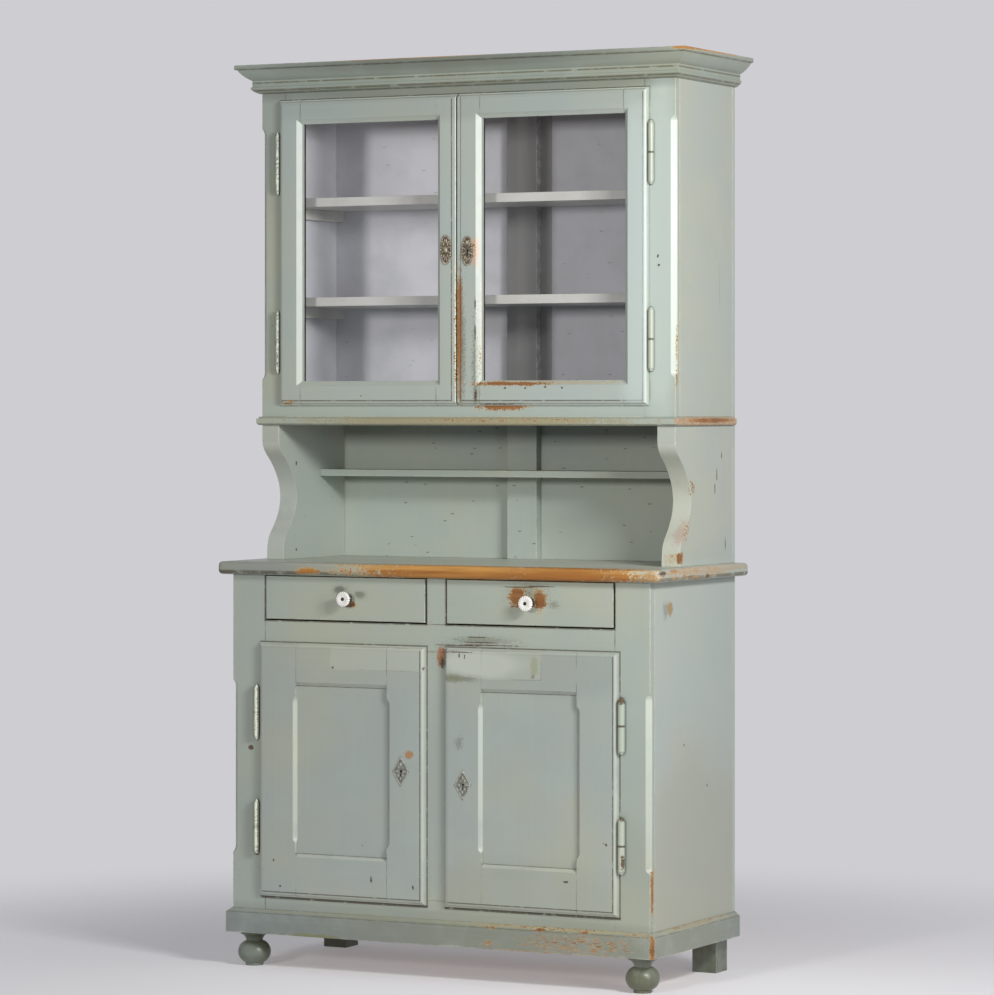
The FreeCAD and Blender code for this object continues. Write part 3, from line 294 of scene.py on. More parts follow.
def rail_joints(*names):
    """The upright hairlines at both ends of every level board of some nodes."""
    return [(x, x, low.z, high.z) for node in names for low, high in board_boxes(node)
            if high.x - low.x > high.z - low.z for x in (low.x, high.x)]


print("joints of a glazed door", rail_joints("left_glass_door_frame"))

# %% Measure the boards of a dressed piece
def islands(mesh):
    """The number of the connected piece that each vertex belongs to."""
    label = np.arange(len(mesh.vertices))
    pairs = np.empty(len(mesh.edges) * 2, dtype=np.int64)
    mesh.edges.foreach_get("vertices", pairs)
    one, two = pairs[0::2], pairs[1::2]
    while True:
        low = np.minimum(label[one], label[two])
        new = label.copy()
        np.minimum.at(new, one, low)
        np.minimum.at(new, two, low)
        new = new[new]
        if (new == label).all():
            return label
        label = new


BOARD_STEP, PLACE_STEP = np.array([0.37, 0.71, 1.93]), 3.1


def measure_boards(piece, shift):
    """Store each board's distances to its sides and its place in the grain."""
    mesh = piece.data
    points = np.empty(len(mesh.vertices) * 3)
    mesh.vertices.foreach_get("co", points)
    points = points.reshape(-1, 3)
    label = islands(mesh)
    low, high, grain = np.zeros_like(points), np.zeros_like(points), np.zeros_like(points)
    for number, board in enumerate(np.unique(label)):
        held = label == board
        inside = points[held]
        bottom, top = inside.min(axis=0), inside.max(axis=0)
        order = np.argsort(top - bottom, kind="stable")
        low[held] = (inside - bottom)[:, order]
        high[held] = (top - inside)[:, order]
        grain[held] = low[held] + BOARD_STEP * (number + 1 + shift) + bottom[order] * PLACE_STEP
    for name, values in (("low_side", low), ("high_side", high), ("grain", grain)):
        layer = mesh.attributes.new(name, "FLOAT_VECTOR", "POINT")
        layer.data.foreach_set("vector", values.astype(np.float32).ravel())


print("from board to board the grain moves on by", BOARD_STEP)

# %% [markdown]
# ## Softened edges
# No real board has a knife edge. The boards of a node touch each other, so each one is first closed
# by itself: its loose triangles are joined board by board, and its flat faces are merged, so that
# only true corners are left. A narrow bevel then rounds those corners. The bevel keeps the shading of
# the flat faces flat, so a broad panel stays even up to its edge and only the thin rounded line
# catches the light. Two boards that meet flush get a fine groove between them, like real ones.

# %% Copy a node with softened edges
def softened_copy(node, bevel, smooth):
    """A copy of a construction node with its triangles joined and its edges eased."""
    piece = bpy.data.objects.new("dressed_" + node, nodes[node].data.copy())
    scene.collection.objects.link(piece)
    piece.data.materials.clear()
    numbers = board_numbers(piece.data)
    joined = bmesh.new()
    joined.from_mesh(piece.data)
    boards = [{} for _ in range(max(numbers) + 1)]
    for face, number in zip(joined.faces, numbers):
        boards[number].update(dict.fromkeys(face.verts))
    for board in boards:
        bmesh.ops.remove_doubles(joined, verts=list(board), dist=2e-5)
    bmesh.ops.dissolve_limit(joined, angle_limit=radians(0.5), verts=joined.verts, edges=joined.edges)
    joined.to_mesh(piece.data)
    joined.free()
    if "custom_normal" in piece.data.attributes:
        piece.data.attributes.remove(piece.data.attributes["custom_normal"])
    select_only(piece)
    bpy.ops.object.shade_smooth_by_angle(angle=radians(smooth))
    ease = piece.modifiers.new("eased_edges", "BEVEL")
    ease.width, ease.segments = bevel, 2
    ease.limit_method, ease.angle_limit = "ANGLE", radians(32)
    ease.harden_normals = True
    bpy.ops.object.modifier_apply(modifier=ease.name)
    return piece


def take_over(piece, node, finish):
    """Put a finish on a piece and let it stand for a construction node."""
    piece.data.materials.append(finish)
    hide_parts(node)
    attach(piece, body_of[node])
    return piece


def dress(node, finish, bevel, shift, smooth):
    """Replace a construction node by its softened copy, wearing a finish."""
    piece = softened_copy(node, bevel, smooth)
    measure_boards(piece, shift)
    take_over(piece, node, finish)


print("boards in a cupboard door frame", max(board_numbers(nodes["left_cupboard_door_frame"].data)) + 1)

# %% [markdown]
# ## Masks for old paint
# The wear is not even, so each worn place is a blob with its own centre and reach, whose rim is made
# ragged by noise. Doors, drawers and patches let into the wood draw a thin line round a rectangle.
# Both masks are plain distances, which the paint then turns into colour.

# %% Define the wear masks
def blobs(finish, place, table):
    """How far a point is from the nearest blob of a table in millimetres, 1 at a blob's rim."""
    reaches = []
    for row in table:
        x, y, z, wide, deep, tall = (number / 1000 for number in row)
        moved = finish.vector("MULTIPLY_ADD", place, (1 / wide, 1 / deep, 1 / tall),
                              (-x / wide, -y / deep, -z / tall))
        reaches.append(finish.vector("LENGTH", moved, output=1))
    return reduce(Wire.low, reaches)


def rectangle(across, up, left, right, bottom, top):
    """Distance to an upright rectangle's outline, negative inside it."""
    sideways = (across - (left + right) / 2).size() - (right - left) / 2
    upward = (up - (bottom + top) / 2).size() - (top - bottom) / 2
    return sideways.high(upward)


def board_distances(finish):
    """Distances to the board's nearest edge, long edge, face and end."""
    near = finish.vector("MINIMUM", finish.attribute("low_side"), finish.attribute("high_side"))
    one, two, three = finish.parts(near)
    return one.low(two).high(one.high(two).low(three)), one.high(two), one.low(two).low(three), three


def pine_colour(finish, grain, warm, deep):
    """Pine: broad bands and fine lines along the grain."""
    bands = finish.noise(finish.scaled(grain, (34.0, 34.0, 1.8)), 1.0, 4.0)
    lines = finish.noise(finish.scaled(grain, (460.0, 460.0, 12.0)), 1.0, 2.0)
    wood = finish.mix(finish.ramp(bands, 0.35, 0.68), warm, deep)
    return finish.mix(finish.ramp(lines, 0.4, 0.75) * 0.35, wood, (104, 62, 32))


print("masks ready")

# %% [markdown]
# ## Old paint on pine
# The cabinet wears a smooth grey-green paint that has yellowed in clouds. It is built up as a painter
# would fake it: one layer goes over another, and each has a mask that says where. All layers share
# the same noises, from wide clouds to fine grit, so one class keeps them. It also keeps the piece's
# habits, with a usual value for whatever a piece doesn't say.

# %% Keep what the layers share
# The dark joint colour also serves as painted shade in gaps and behind round pieces.
CREAM, DARK_JOINT_AND_SHADE = (214, 216, 198), (70, 62, 44)
RAW_CREAM, CHIP_BROWN = (200, 186, 146), (88, 72, 54)
USUAL = dict(
    main=(158, 167, 159), second=(166, 171, 155), sunk=0.0, wear=1.0, through=0.2, joint=0.45, ends=0.0,
    specks=(17, 17, 17), many=0.74, speck_size=0.042, wood=((166, 116, 68), (124, 82, 46)),
    roughness=0.34, inside=None)
TABLES = ("patches", "faded", "seams", "lines", "bands", "behind", "dirt", "tints", "stains", "shades",
          "chips", "bare", "flaked", "scraped", "marks")
NOISES = ((2.6, 3.0, 0.55), (13.0, 3.0, 0.6), (60.0, 4.0, 0.65), (260.0, 2.0, 0.6), (700.0, 1.0, 0.5))


class OldPaint(Finish):
    """A paint with its own habits, and the noises and distances that its layers share."""
    def __init__(self, name, habits):
        super().__init__(name)
        vars(self).update({**USUAL, **dict.fromkeys(TABLES, ()), **habits})
        self.spot, self.grain = self.place(), self.attribute("grain")
        self.across, self.depth, self.up = self.parts(self.spot)
        self.cloud, self.middle, self.fleck, self.crumb, self.grit = (
            self.noise(self.spot, *kind) for kind in NOISES)
        self.stroke = self.noise(self.scaled(self.grain, (150.0, 150.0, 3.2)), 1.0, 3.0, 0.6)
        self.torn = (self.fleck - 0.5) * 1.3 + (self.crumb - 0.5) * 1.9 + (self.grit - 0.5) * 0.9
        self.edge, self.long_edge, self.face, self.end = board_distances(self)

    def lay(self, factor, colour):
        """Lay another colour over the paint, as far as the factor says."""
        self.colour = self.mix(factor, self.colour, colour)

    def worn(self, table):
        return blobs(self, self.spot, table)

    def outlines(self, table):
        """Distance to the nearest of several upright rectangles, negative inside one."""
        return reduce(Wire.low, [rectangle(self.across, self.up, *row) for row in table])


print("noises", len(NOISES))

# %% [markdown]
# ## The coat, its edges, its dirt and its painted shade
# The coat has two tones in clouds and a trace of the brush, and is paler where a panel is sunk. Along
# the edges it is rubbed to a thin cream line, and in the joints there is dark dirt. Both follow the
# distances that the boards carry, made ragged by noise. Grime is a soft darkening with dots in it, a
# stain is a ragged spot of one colour, and a tint is a wide soft one; some stains and tints are
# painted highlights and painted shade, and a shade is a soft painted shade. Small dark specks are
# strewn over everything, as random cells of which only some are used.

# %% Lay the coat and rub its edges
PATCH_FRONT = -0.2120


def ground_coat(coat):
    """Two tones in clouds, pale sunk panels, patches let into the wood, and faded places."""
    coat.colour = coat.mix(coat.ramp(coat.cloud, 0.36, 0.66), coat.main, coat.second)
    coat.lay(coat.ramp(coat.middle, 0.45, 0.75) * 0.30, (160, 171, 168))
    coat.lay(coat.ramp(coat.stroke, 0.45, 0.80) * 0.07, (190, 193, 180))
    if coat.sunk:
        low = coat.ramp(coat.face, 0.0004, 0.0010) * coat.ramp(coat.middle, 0.25, 0.5)
        coat.lay(low * coat.sunk, CREAM)
    if coat.patches:
        inset = coat.outlines(coat.patches) + (coat.fleck - 0.5) * 0.004 + (coat.middle - 0.5) * 0.006
        front = coat.depth.under(PATCH_FRONT)
        coat.lay(coat.ramp(inset, 0.0012, -0.0012) * front * 0.25, (188, 193, 180))
        line = coat.ramp(inset.size(), 0.0014, 0.0004) * coat.ramp(coat.middle, 0.40, 0.58)
        coat.lay(line * front * 0.5, (120, 118, 96))
    if coat.faded:
        thin = coat.worn(coat.faded) + (coat.middle - 0.5) * 0.8
        thin = thin + coat.torn * 0.5 + (coat.stroke - 0.5) * 0.6
        coat.lay(coat.ramp(thin, 1.05, 0.62) * 0.72, (172, 156, 122))


def edges_and_joints(coat):
    """Cream edges, wood where they are worn through, and dark joints."""
    ragged = (coat.fleck - 0.5) * 0.0050 + (coat.middle - 0.5) * 0.0060 + (coat.crumb - 0.5) * 0.0040
    coat.rubbed = coat.ramp(0.0010 * coat.wear + ragged * coat.wear - coat.long_edge, -0.0006, 0.0006)
    if coat.seams:
        hairline = coat.outlines(coat.seams)
        coat.rubbed = coat.rubbed * coat.ramp(hairline, 0.0030, 0.0042)
        line = coat.ramp(hairline, 0.0020, 0.0006) * coat.ramp(coat.middle, 0.36, 0.56)
        coat.lay(line * 0.24, DARK_JOINT_AND_SHADE)
    coat.lay(coat.rubbed * 0.50, CREAM)
    worn_through = coat.ramp(0.0002 * coat.wear + ragged * coat.wear - coat.long_edge, 0.0006, 0.0014)
    coat.lay(worn_through * coat.through, (160, 118, 74))
    dirty = coat.ramp((0.0008 + (coat.fleck - 0.5) * 0.004) - coat.edge, -0.0003, 0.0003)
    coat.lay(dirty * coat.ramp(coat.middle, 0.46, 0.62) * coat.joint, DARK_JOINT_AND_SHADE)
    if coat.ends:
        dark_end = coat.ramp(coat.end + (coat.crumb - 0.5) * 0.002, 0.0030, 0.0012)
        coat.lay(dark_end * coat.ends, DARK_JOINT_AND_SHADE)


print("edges ready")

# %% Draw lines, lay dirt and paint shade
def drawn_lines(coat):
    """Dark lines round rectangles and level dark bands, partly painted shade; painted shade on the
    depths behind a round piece.
    """
    broken = coat.ramp(coat.fleck, 0.28, 0.46)
    for drawn, inward, thick, strength in coat.lines:
        gaps = [(rectangle(coat.across, coat.up, *row) + inward).size() for row in drawn]
        near = reduce(Wire.low, gaps)
        line = coat.ramp(near + (coat.crumb - 0.5) * 0.0016, thick, thick * 0.4) * broken
        coat.lay(line * strength, DARK_JOINT_AND_SHADE)
    # Level bands: dirt, with painted shade under nosings and in moulding steps.
    for height, thick, strength in coat.bands:
        near = (coat.up - height).size() + (coat.crumb - 0.5) * 0.0012
        band = coat.ramp(near, thick, thick * 0.4) * strength * coat.ramp(coat.fleck, 0.3, 0.5)
        coat.lay(band, (92, 88, 66))
    if coat.behind:
        rough = coat.depth + (coat.crumb - 0.5) * 0.001
        hidden = [coat.ramp(rough, start, start + 0.0015) * coat.depth.under(stop)
                  for start, stop in coat.behind]
        coat.lay(reduce(Wire.high, hidden) * 0.8, DARK_JOINT_AND_SHADE)


def soil_and_painted_light(coat):
    """Grime, tints, stains and shades where the tables say, then specks; shades are painted shade, and
    some tints and stains are painted highlights and painted shade.
    """
    if coat.dirt:
        reach = coat.worn(coat.dirt)
        grime = coat.ramp(reach + coat.torn * 0.6, 1.0, 0.2) * 0.16
        dots = coat.ramp(reach + (0.52 - coat.crumb) * 4.0 + (0.5 - coat.grit) * 3.0, 0.85, 0.55) * 0.5
        coat.lay(grime.high(dots), (84, 84, 62))
    # Tints: wide soft colours; some are painted light, such as a lighter counter top and brighter
    # right-hand stiles.
    for *blob, colour, strength in coat.tints:
        soft = coat.worn([blob]) + (coat.middle - 0.5) * 0.5
        coat.lay(coat.ramp(soft, 1.05, 0.45) * strength, colour)
    # Stains: ragged spots of colour; some are painted highlights and painted shade, as on the hinge
    # barrels and meeting edges.
    for *blob, colour, strength in coat.stains:
        ragged = coat.worn([blob]) + coat.torn * 0.7 + (coat.middle - 0.5) * 0.6
        coat.lay(coat.ramp(ragged, 1.0, 0.7) * strength, colour)
    # Shades: painted shade, a soft darkening towards a dark colour where less light falls.
    for *blob, strength in coat.shades:
        coat.lay(coat.ramp(coat.worn([blob]), 1.0, 0.45) * strength, (24, 26, 20))
    stretched = coat.scaled(coat.spot, coat.specks)
    cells = coat.node("ShaderNodeTexVoronoi", inputs={"Vector": stretched, "Scale": 1.0})
    chosen = coat.parts(Wire(coat, cells.socket.node.outputs["Color"]))[0]
    dots = coat.ramp(cells + (coat.crumb - 0.5) * 0.06, coat.speck_size, coat.speck_size * 0.4)
    coat.speck = dots * chosen.over(coat.many)
    coat.lay(coat.speck * 0.7, (78, 70, 54))


print("dirt ready")

# %% [markdown]
# ## Bare wood and the inside
# Where hands and feet touched it the orange pine shows, with a pale rim and a dark line round each
# bare place. Smaller chips only show brown. Inside, the upper case is pale lilac and the lower case,
# the back and the top are bare, so one finish asks the point's place which coat it wears.

# %% Chip the paint and paint the inside
INSIDE_HALF_WIDTH, REAR_HALF_WIDTH = 0.4885, 0.507
UPPER_FLOOR, UPPER_FRONT, UPPER_ROOF = 1.2115, -0.0568, 1.985
LOWER_ROOF, LOWER_FRONT, REAR = 0.866, -0.1825, 0.2285


def bare_places(coat):
    """Pine where the paint is gone, and brown chips; gives the mask of the pine, if there is any."""
    shows, gone = [], None
    if coat.bare:
        shows.append(coat.worn(coat.bare) + coat.torn * 1.2 + (coat.stroke - 0.5) * 1.0 - 0.12)
    if coat.flaked:
        away = (coat.worn(coat.flaked) - 0.6).high(0.0) * 2.5
        shows.append(1.0 + (0.56 - coat.crumb) * 4.0 + (0.50 - coat.fleck) * 2.0 + away)
    if coat.scraped:
        away = (coat.worn(coat.scraped) - 0.55).high(0.0) * 2.5
        streaks = coat.noise(coat.scaled(coat.grain, (560.0, 560.0, 44.0)), 1.0, 3.0, 0.6)
        shows.append(1.0 + (0.550 - streaks) * 6.0 + (0.50 - coat.fleck) * 2.6 + away)
    if shows:
        least = reduce(Wire.low, shows)
        coat.lay(coat.ramp(least, 1.20, 1.02) * 0.75, RAW_CREAM)
        gone = coat.ramp(least, 0.98, 0.88)
        coat.lay(gone, pine_colour(coat, coat.grain, *coat.wood))
        coat.lay(coat.ramp((least - 0.95).size(), 0.06, 0.01) * 0.45, (104, 70, 42))
    if coat.chips:
        pits = coat.worn(coat.chips) + coat.torn * 1.25 - 0.1
        coat.lay(coat.ramp(pits, 1.10, 0.85), CHIP_BROWN)
        coat.lay(coat.ramp((pits - 1.0).size(), 0.18, 0.04) * 0.5, (60, 52, 40))
    return gone


def inside_coat(coat):
    """Pale paint inside the upper case; bare pine in the lower case, on the back and on the top."""
    within = coat.across.size().under(INSIDE_HALF_WIDTH)
    upper = within * coat.up.over(UPPER_FLOOR) * coat.depth.over(UPPER_FRONT)
    lower = within * coat.up.under(LOWER_ROOF) * coat.depth.over(LOWER_FRONT)
    rear = coat.depth.over(REAR) * coat.across.size().under(REAR_HALF_WIDTH)
    pale = coat.mix(coat.ramp(coat.middle, 0.35, 0.75), *coat.inside)
    pale = coat.mix(coat.ramp(coat.stroke, 0.55, 0.85) * 0.15, pale, (204, 204, 206))
    pale = coat.mix(coat.speck * 0.4, pale, (96, 90, 84))
    pale = coat.mix(coat.rubbed * 0.3, pale, (206, 204, 196))
    # Marks: a darker middle stile and a painted shadow beside it.
    for *blob, colour, strength in coat.marks:
        mark = coat.worn([blob]) + (coat.fleck - 0.5) * 0.3
        pale = coat.mix(coat.ramp(mark, 1.06, 0.94) * strength, pale, colour)
    pine = pine_colour(coat, coat.grain, (176, 142, 100), (150, 114, 76))
    pine = coat.mix(coat.ramp(coat.long_edge, 0.0016, 0.0006) * 0.65, pine, (62, 46, 32))
    coat.lay(upper, pale)
    coat.lay(lower.high(rear).high(within * coat.up.over(UPPER_ROOF)), pine)


print("inside from", UPPER_FLOOR, "to", UPPER_ROOF)

# %% Put the layers together
LILAC = ((208, 208, 215), (198, 199, 204))


def worn_paint(name, **habits):
    """Old smooth paint with everything that has happened to it, and with painted light and shade."""
    coat = OldPaint(name, habits)
    for layer in (ground_coat, edges_and_joints, drawn_lines, soil_and_painted_light):
        layer(coat)
    gone = bare_places(coat)
    if coat.inside:
        inside_coat(coat)
    gloss = coat.roughness + coat.fleck * 0.10 + coat.middle * 0.06
    height = coat.stroke * 0.25 + coat.middle * 0.2 + coat.crumb * 0.06 - coat.rubbed * 0.3
    height = height - coat.speck * 0.5
    if gone is not None:
        gloss, height = gloss + gone * 0.12, height - gone * 0.5
    coat.set(Base_Color=coat.colour, Roughness=gloss)
    coat.bump(height, 0.0005, 0.45)
    return coat.material


print("paint ready")

# %% [markdown]
# ## Where each piece is worn, and where light and shade are painted
# Lines follow the construction model, in metres. Worn places have a centre and a reach in
# millimetres, as on the real cabinet. The counter's nosing is rubbed bare where people leaned,
# the drawers round their knobs, the plinth where shoes kicked it, and the glazed doors along the
# edges where fingers pull them. Other rows paint shade and highlights in the same way.

# %% Name the lines
GLASS_DOORS = [(-0.461, -0.013, 1.240, 1.920), (-0.009, 0.449, 1.240, 1.920)]
CUPBOARD_DOORS = [(-0.4386, -0.0233, 0.160, 0.7185), (0.0233, 0.4386, 0.160, 0.7185)]
DRAWERS = [(-0.4275, -0.0238, 0.767, 0.867), (0.0238, 0.4275, 0.767, 0.867)]
PANEL_SIDES, PANEL_WIDTH, PANEL_ENDS = (-0.1158, 0.3431), 0.2273, (0.257, 0.625)
PANEL_LINES = [(side - PANEL_WIDTH, side, z, z) for side in PANEL_SIDES for z in PANEL_ENDS] + [
    (side, side, *PANEL_ENDS) for side in PANEL_SIDES]
POST_ENDS = [(-0.0343, 0.0343, z, z) for z in (0.171, 0.7075)] + [(-0.0238, 0.0238, 0.767, 0.767)]
# Painted shadow lines just below the cupboard doors' feet.
DOOR_FOOT_SHADOWS = [(left, right, bottom - 0.003, bottom - 0.003) for left, right, bottom, top in CUPBOARD_DOORS]
LIP_WIDTH = 0.0105
GOLDEN = ((196, 144, 76), (152, 98, 42))


def lip_lines(doors):
    """The quirk inside a door's lip: faint all round, and darker along the foot and the right side as
    painted shade.
    """
    inner = [(left + LIP_WIDTH, right - LIP_WIDTH, low + LIP_WIDTH, top - LIP_WIDTH)
             for left, right, low, top in doors]
    foot = [(left, right, low, low) for left, right, low, top in inner]
    side = [(right, right, low, top) for left, right, low, top in inner]
    return [(doors, LIP_WIDTH, 0.0012, 0.10), (foot + side, 0.0, 0.0019, 0.75)]


print("lines round", len(GLASS_DOORS + CUPBOARD_DOORS + DRAWERS), "doors and drawers")

# %% Paint the case
case_paint = worn_paint(
    "worn_sage_case", inside=LILAC, sunk=0.3,
    seams=rail_joints("upper_face_rails", "lower_face_rails") + POST_ENDS,
    # Dark lines round doors and drawers: dirt in the gaps with painted shade; and the painted shadow
    # under the door feet.
    lines=[(GLASS_DOORS + CUPBOARD_DOORS + DRAWERS, 0.0, 0.0036, 0.8), (DOOR_FOOT_SHADOWS, 0.0, 0.0042, 0.85)],
    bare=[(95, -78, 1237.5, 56, 12, 7), (510, -195, 215, 4, 6, 45), (510, -73, 1350, 3, 5, 60)],
    chips=[(16, -204, 686, 4.5, 20, 10), (-464.3, -204, 485.4, 6, 10, 4.5),
        (110, -204, 731, 40, 6, 0.9), (60, -204, 723.5, 45, 6, 1), (130, -204, 725.5, 60, 6, 1),
        (99, -204, 742, 20, 6, 1), (469, -78, 1558.3, 2, 6, 3), (471, -78, 1539.1, 2, 6, 2)],
    flaked=[(10, -204, 700, 14, 20, 26)],
    dirt=[(160, -204, 717, 70, 10, 6), (30, -204, 700, 30, 10, 30), (110, -204, 735, 80, 10, 10)],
    faded=[(510, -185, 215, 8, 12, 70)],
    # The long dark strips down the left front chamfers are painted shade.
    stains=[(13, -204, 697, 10.5, 20, 26, (148, 86, 54), 0.9),
        (-510, -198.5, 415, 6, 12, 240, (92, 94, 82), 0.75),
        (-510, -72.5, 1600, 6, 12, 330, (92, 94, 82), 0.75)],
    # The first tint is a painted highlight on the upper right stile, also bluer.
    tints=[(475, -78, 1580, 55, 20, 550, (184, 197, 191), 0.7),
        (0, -78, 1232, 750, 20, 35, (168, 179, 172), 0.6)],
    # Painted shade: on the top rail under the cornice, over the lower front and its lower right, and on
    # the upper left stile.
    shades=[(0, -78, 1935, 750, 30, 30, 0.4), (0, -204, 135, 800, 30, 20, 0.15),
        (0, -204, 300, 900, 30, 400, 0.08), (450, -204, 200, 300, 30, 200, 0.08),
        (-480, -78, 1900, 60, 30, 300, 0.1)])
side_paint = worn_paint(
    "worn_sage_sides", main=(168, 176, 170), second=(174, 177, 163), inside=LILAC, sunk=0.3,
    specks=(30, 30, 12), many=0.80, speck_size=0.055,
    stains=[(510, -105.5, 808, 10, 16, 16, (152, 122, 66), 0.85),
        (510, 150, 1500, 10, 1.4, 60, (140, 138, 120), 0.6)],
    # Painted shade towards the bottom of the side, with a yellower tone there.
    tints=[(510, 30, 220, 20, 360, 380, (158, 156, 140), 0.55)],
    chips=[(510, -35, 514, 10, 2.5, 2.5), (510, 84, 419, 10, 2.5, 2.5)],
    dirt=[(510, -128, 806, 10, 14, 20)])
cornice_paint = worn_paint(
    "worn_cornice", main=(142, 151, 142), second=(148, 153, 138), roughness=0.30, joint=0.6,
    # Dark bands in the moulding's steps: painted shade with some dirt.
    bands=[(1.9905, 0.0026, 0.6), (1.9610, 0.0024, 0.8), (1.9440, 0.0028, 0.8), (1.9385, 0.0022, 0.6)],
    wood=GOLDEN,
    bare=[(553, -120, 1998, 20, 50, 4), (556, -20, 1999, 10, 160, 2),
        (-100, -127, 1999.5, 160, 20, 1.2)],
    # Painted shade on the cornice's front.
    shades=[(0, -135, 1967, 660, 35, 80, 0.42)])
console_paint = worn_paint(
    "worn_consoles", main=(166, 174, 168), second=(172, 175, 162), sunk=0.18,
    specks=(30, 30, 12), many=0.80,
    bare=[(488, -80, 899.5, 45, 16, 8), (510, -55, 914, 6, 14, 12)],
    chips=[(510, 125, 1060, 10, 2, 10), (510, 135, 1090, 10, 2, 10), (510, 160, 1130, 10, 2, 8),
        (510, 180, 935, 10, 2, 12), (-467, 0, 915, 10, 3, 3), (-467, 0, 1110, 10, 3, 3)],
    flaked=[(500, -70, 915, 24, 30, 18), (509, -35, 985, 6, 40, 55), (509, 0, 1060, 5, 30, 30)],
    stains=[(500, -45, 985, 18, 40, 50, (172, 150, 136), 0.6),
        (489, -80, 915, 30, 30, 20, (166, 152, 120), 0.7)],
    # Painted shadow of the waist board at the top of the niche.
    shades=[(0, 150, 1200, 600, 300, 90, 0.14)])
print("case paint nodes", len(case_paint.node_tree.nodes))

# %% Paint the counter, the waist and the plinth
counter_paint = worn_paint(
    "worn_counter", main=(166, 173, 164), second=(172, 173, 158), through=0.6, wear=1.2,
    # The dark band under the nosing is painted shade with some dirt.
    bands=[(0.8730, 0.0055, 0.85)], wood=GOLDEN,
    bare=[(60, -227, 881, 220, 24, 30), (310, -227, 881, 180, 24, 30), (-310, -227, 878, 28, 10, 7)],
    chips=[(535, -205, 886.5, 8, 14, 4), (541, 20, 874, 6, 8, 4)],
    flaked=[(528, -215, 882, 34, 40, 22), (541, -50, 882, 14, 220, 24), (-130, -227, 888, 90, 12, 5)],
    stains=[(-170, -227, 884, 150, 20, 18, (158, 160, 143), 0.7),
        (541, 40, 889, 12, 240, 10, (170, 146, 116), 0.6),
        (460, -227, 884, 50, 20, 20, (196, 182, 146), 0.6),
        (50, -205, 895.5, 450, 25, 6, (176, 156, 116), 0.7),
        (528, -214, 880, 9, 16, 10, (146, 84, 54), 0.8),
        (541, -150, 890, 10, 20, 4, (150, 96, 62), 0.8),
        (541, -60, 876, 10, 30, 3, (120, 92, 66), 0.8)],
    # A painted highlight over the top, which catches light from above.
    tints=[(0, 20, 895.5, 750, 340, 12, (204, 206, 192), 0.8)],
    # Painted shade towards the left end of the front.
    shades=[(-520, -227, 882, 360, 50, 30, 0.3)])
waist_paint = worn_paint(
    "worn_waist", through=0.5, bands=[(1.1985, 0.0020, 0.60), (1.2130, 0.0014, 0.45)], wear=1.2,
    bare=[(520, 80, 1207.5, 8, 100, 4.5)],
    flaked=[(520, 60, 1206, 14, 240, 18), (100, -88, 1207.5, 300, 6, 6)],
    stains=[(20, -88, 1206, 440, 14, 12, (152, 142, 108), 0.8),
        (520, 60, 1206, 16, 240, 14, (178, 146, 116), 0.8)])
plinth_paint = worn_paint(
    "worn_plinth", main=(128, 135, 131), second=(134, 138, 125), through=0.5,
    bands=[(0.1305, 0.0022, 0.55), (0.1215, 0.0016, 0.5)], wear=1.1,
    bare=[(520, -216, 98, 5.5, 8, 30), (254, -207, 123.5, 14, 8, 3.4), (360, -207, 123.5, 12, 8, 3),
        (134, -207, 122.5, 18, 8, 2.6)],
    scraped=[(345, -216, 100, 190, 12, 28), (130, -216, 88, 50, 12, 10), (300, -216, 77.5, 220, 12, 5)],
    flaked=[(495, -210, 124, 50, 30, 8), (300, -207, 124, 200, 8, 4), (515, 10, 128.5, 14, 230, 5),
        (250, -209, 129, 270, 10, 3.8)],
    stains=[(0, -210, 126.5, 600, 12, 5, (150, 152, 132), 0.6),
        (300, -210, 128.5, 300, 12, 6, (172, 158, 122), 0.4),
        (519, 0, 126.5, 12, 260, 6, (172, 168, 144), 0.6),
        (-295, -216, 77, 75, 12, 7.5, (126, 128, 90), 0.85)],
    # Painted shade along the plinth's front.
    shades=[(0, -216, 90, 800, 10, 60, 0.13)])
print("plinth paint nodes", len(plinth_paint.node_tree.nodes))

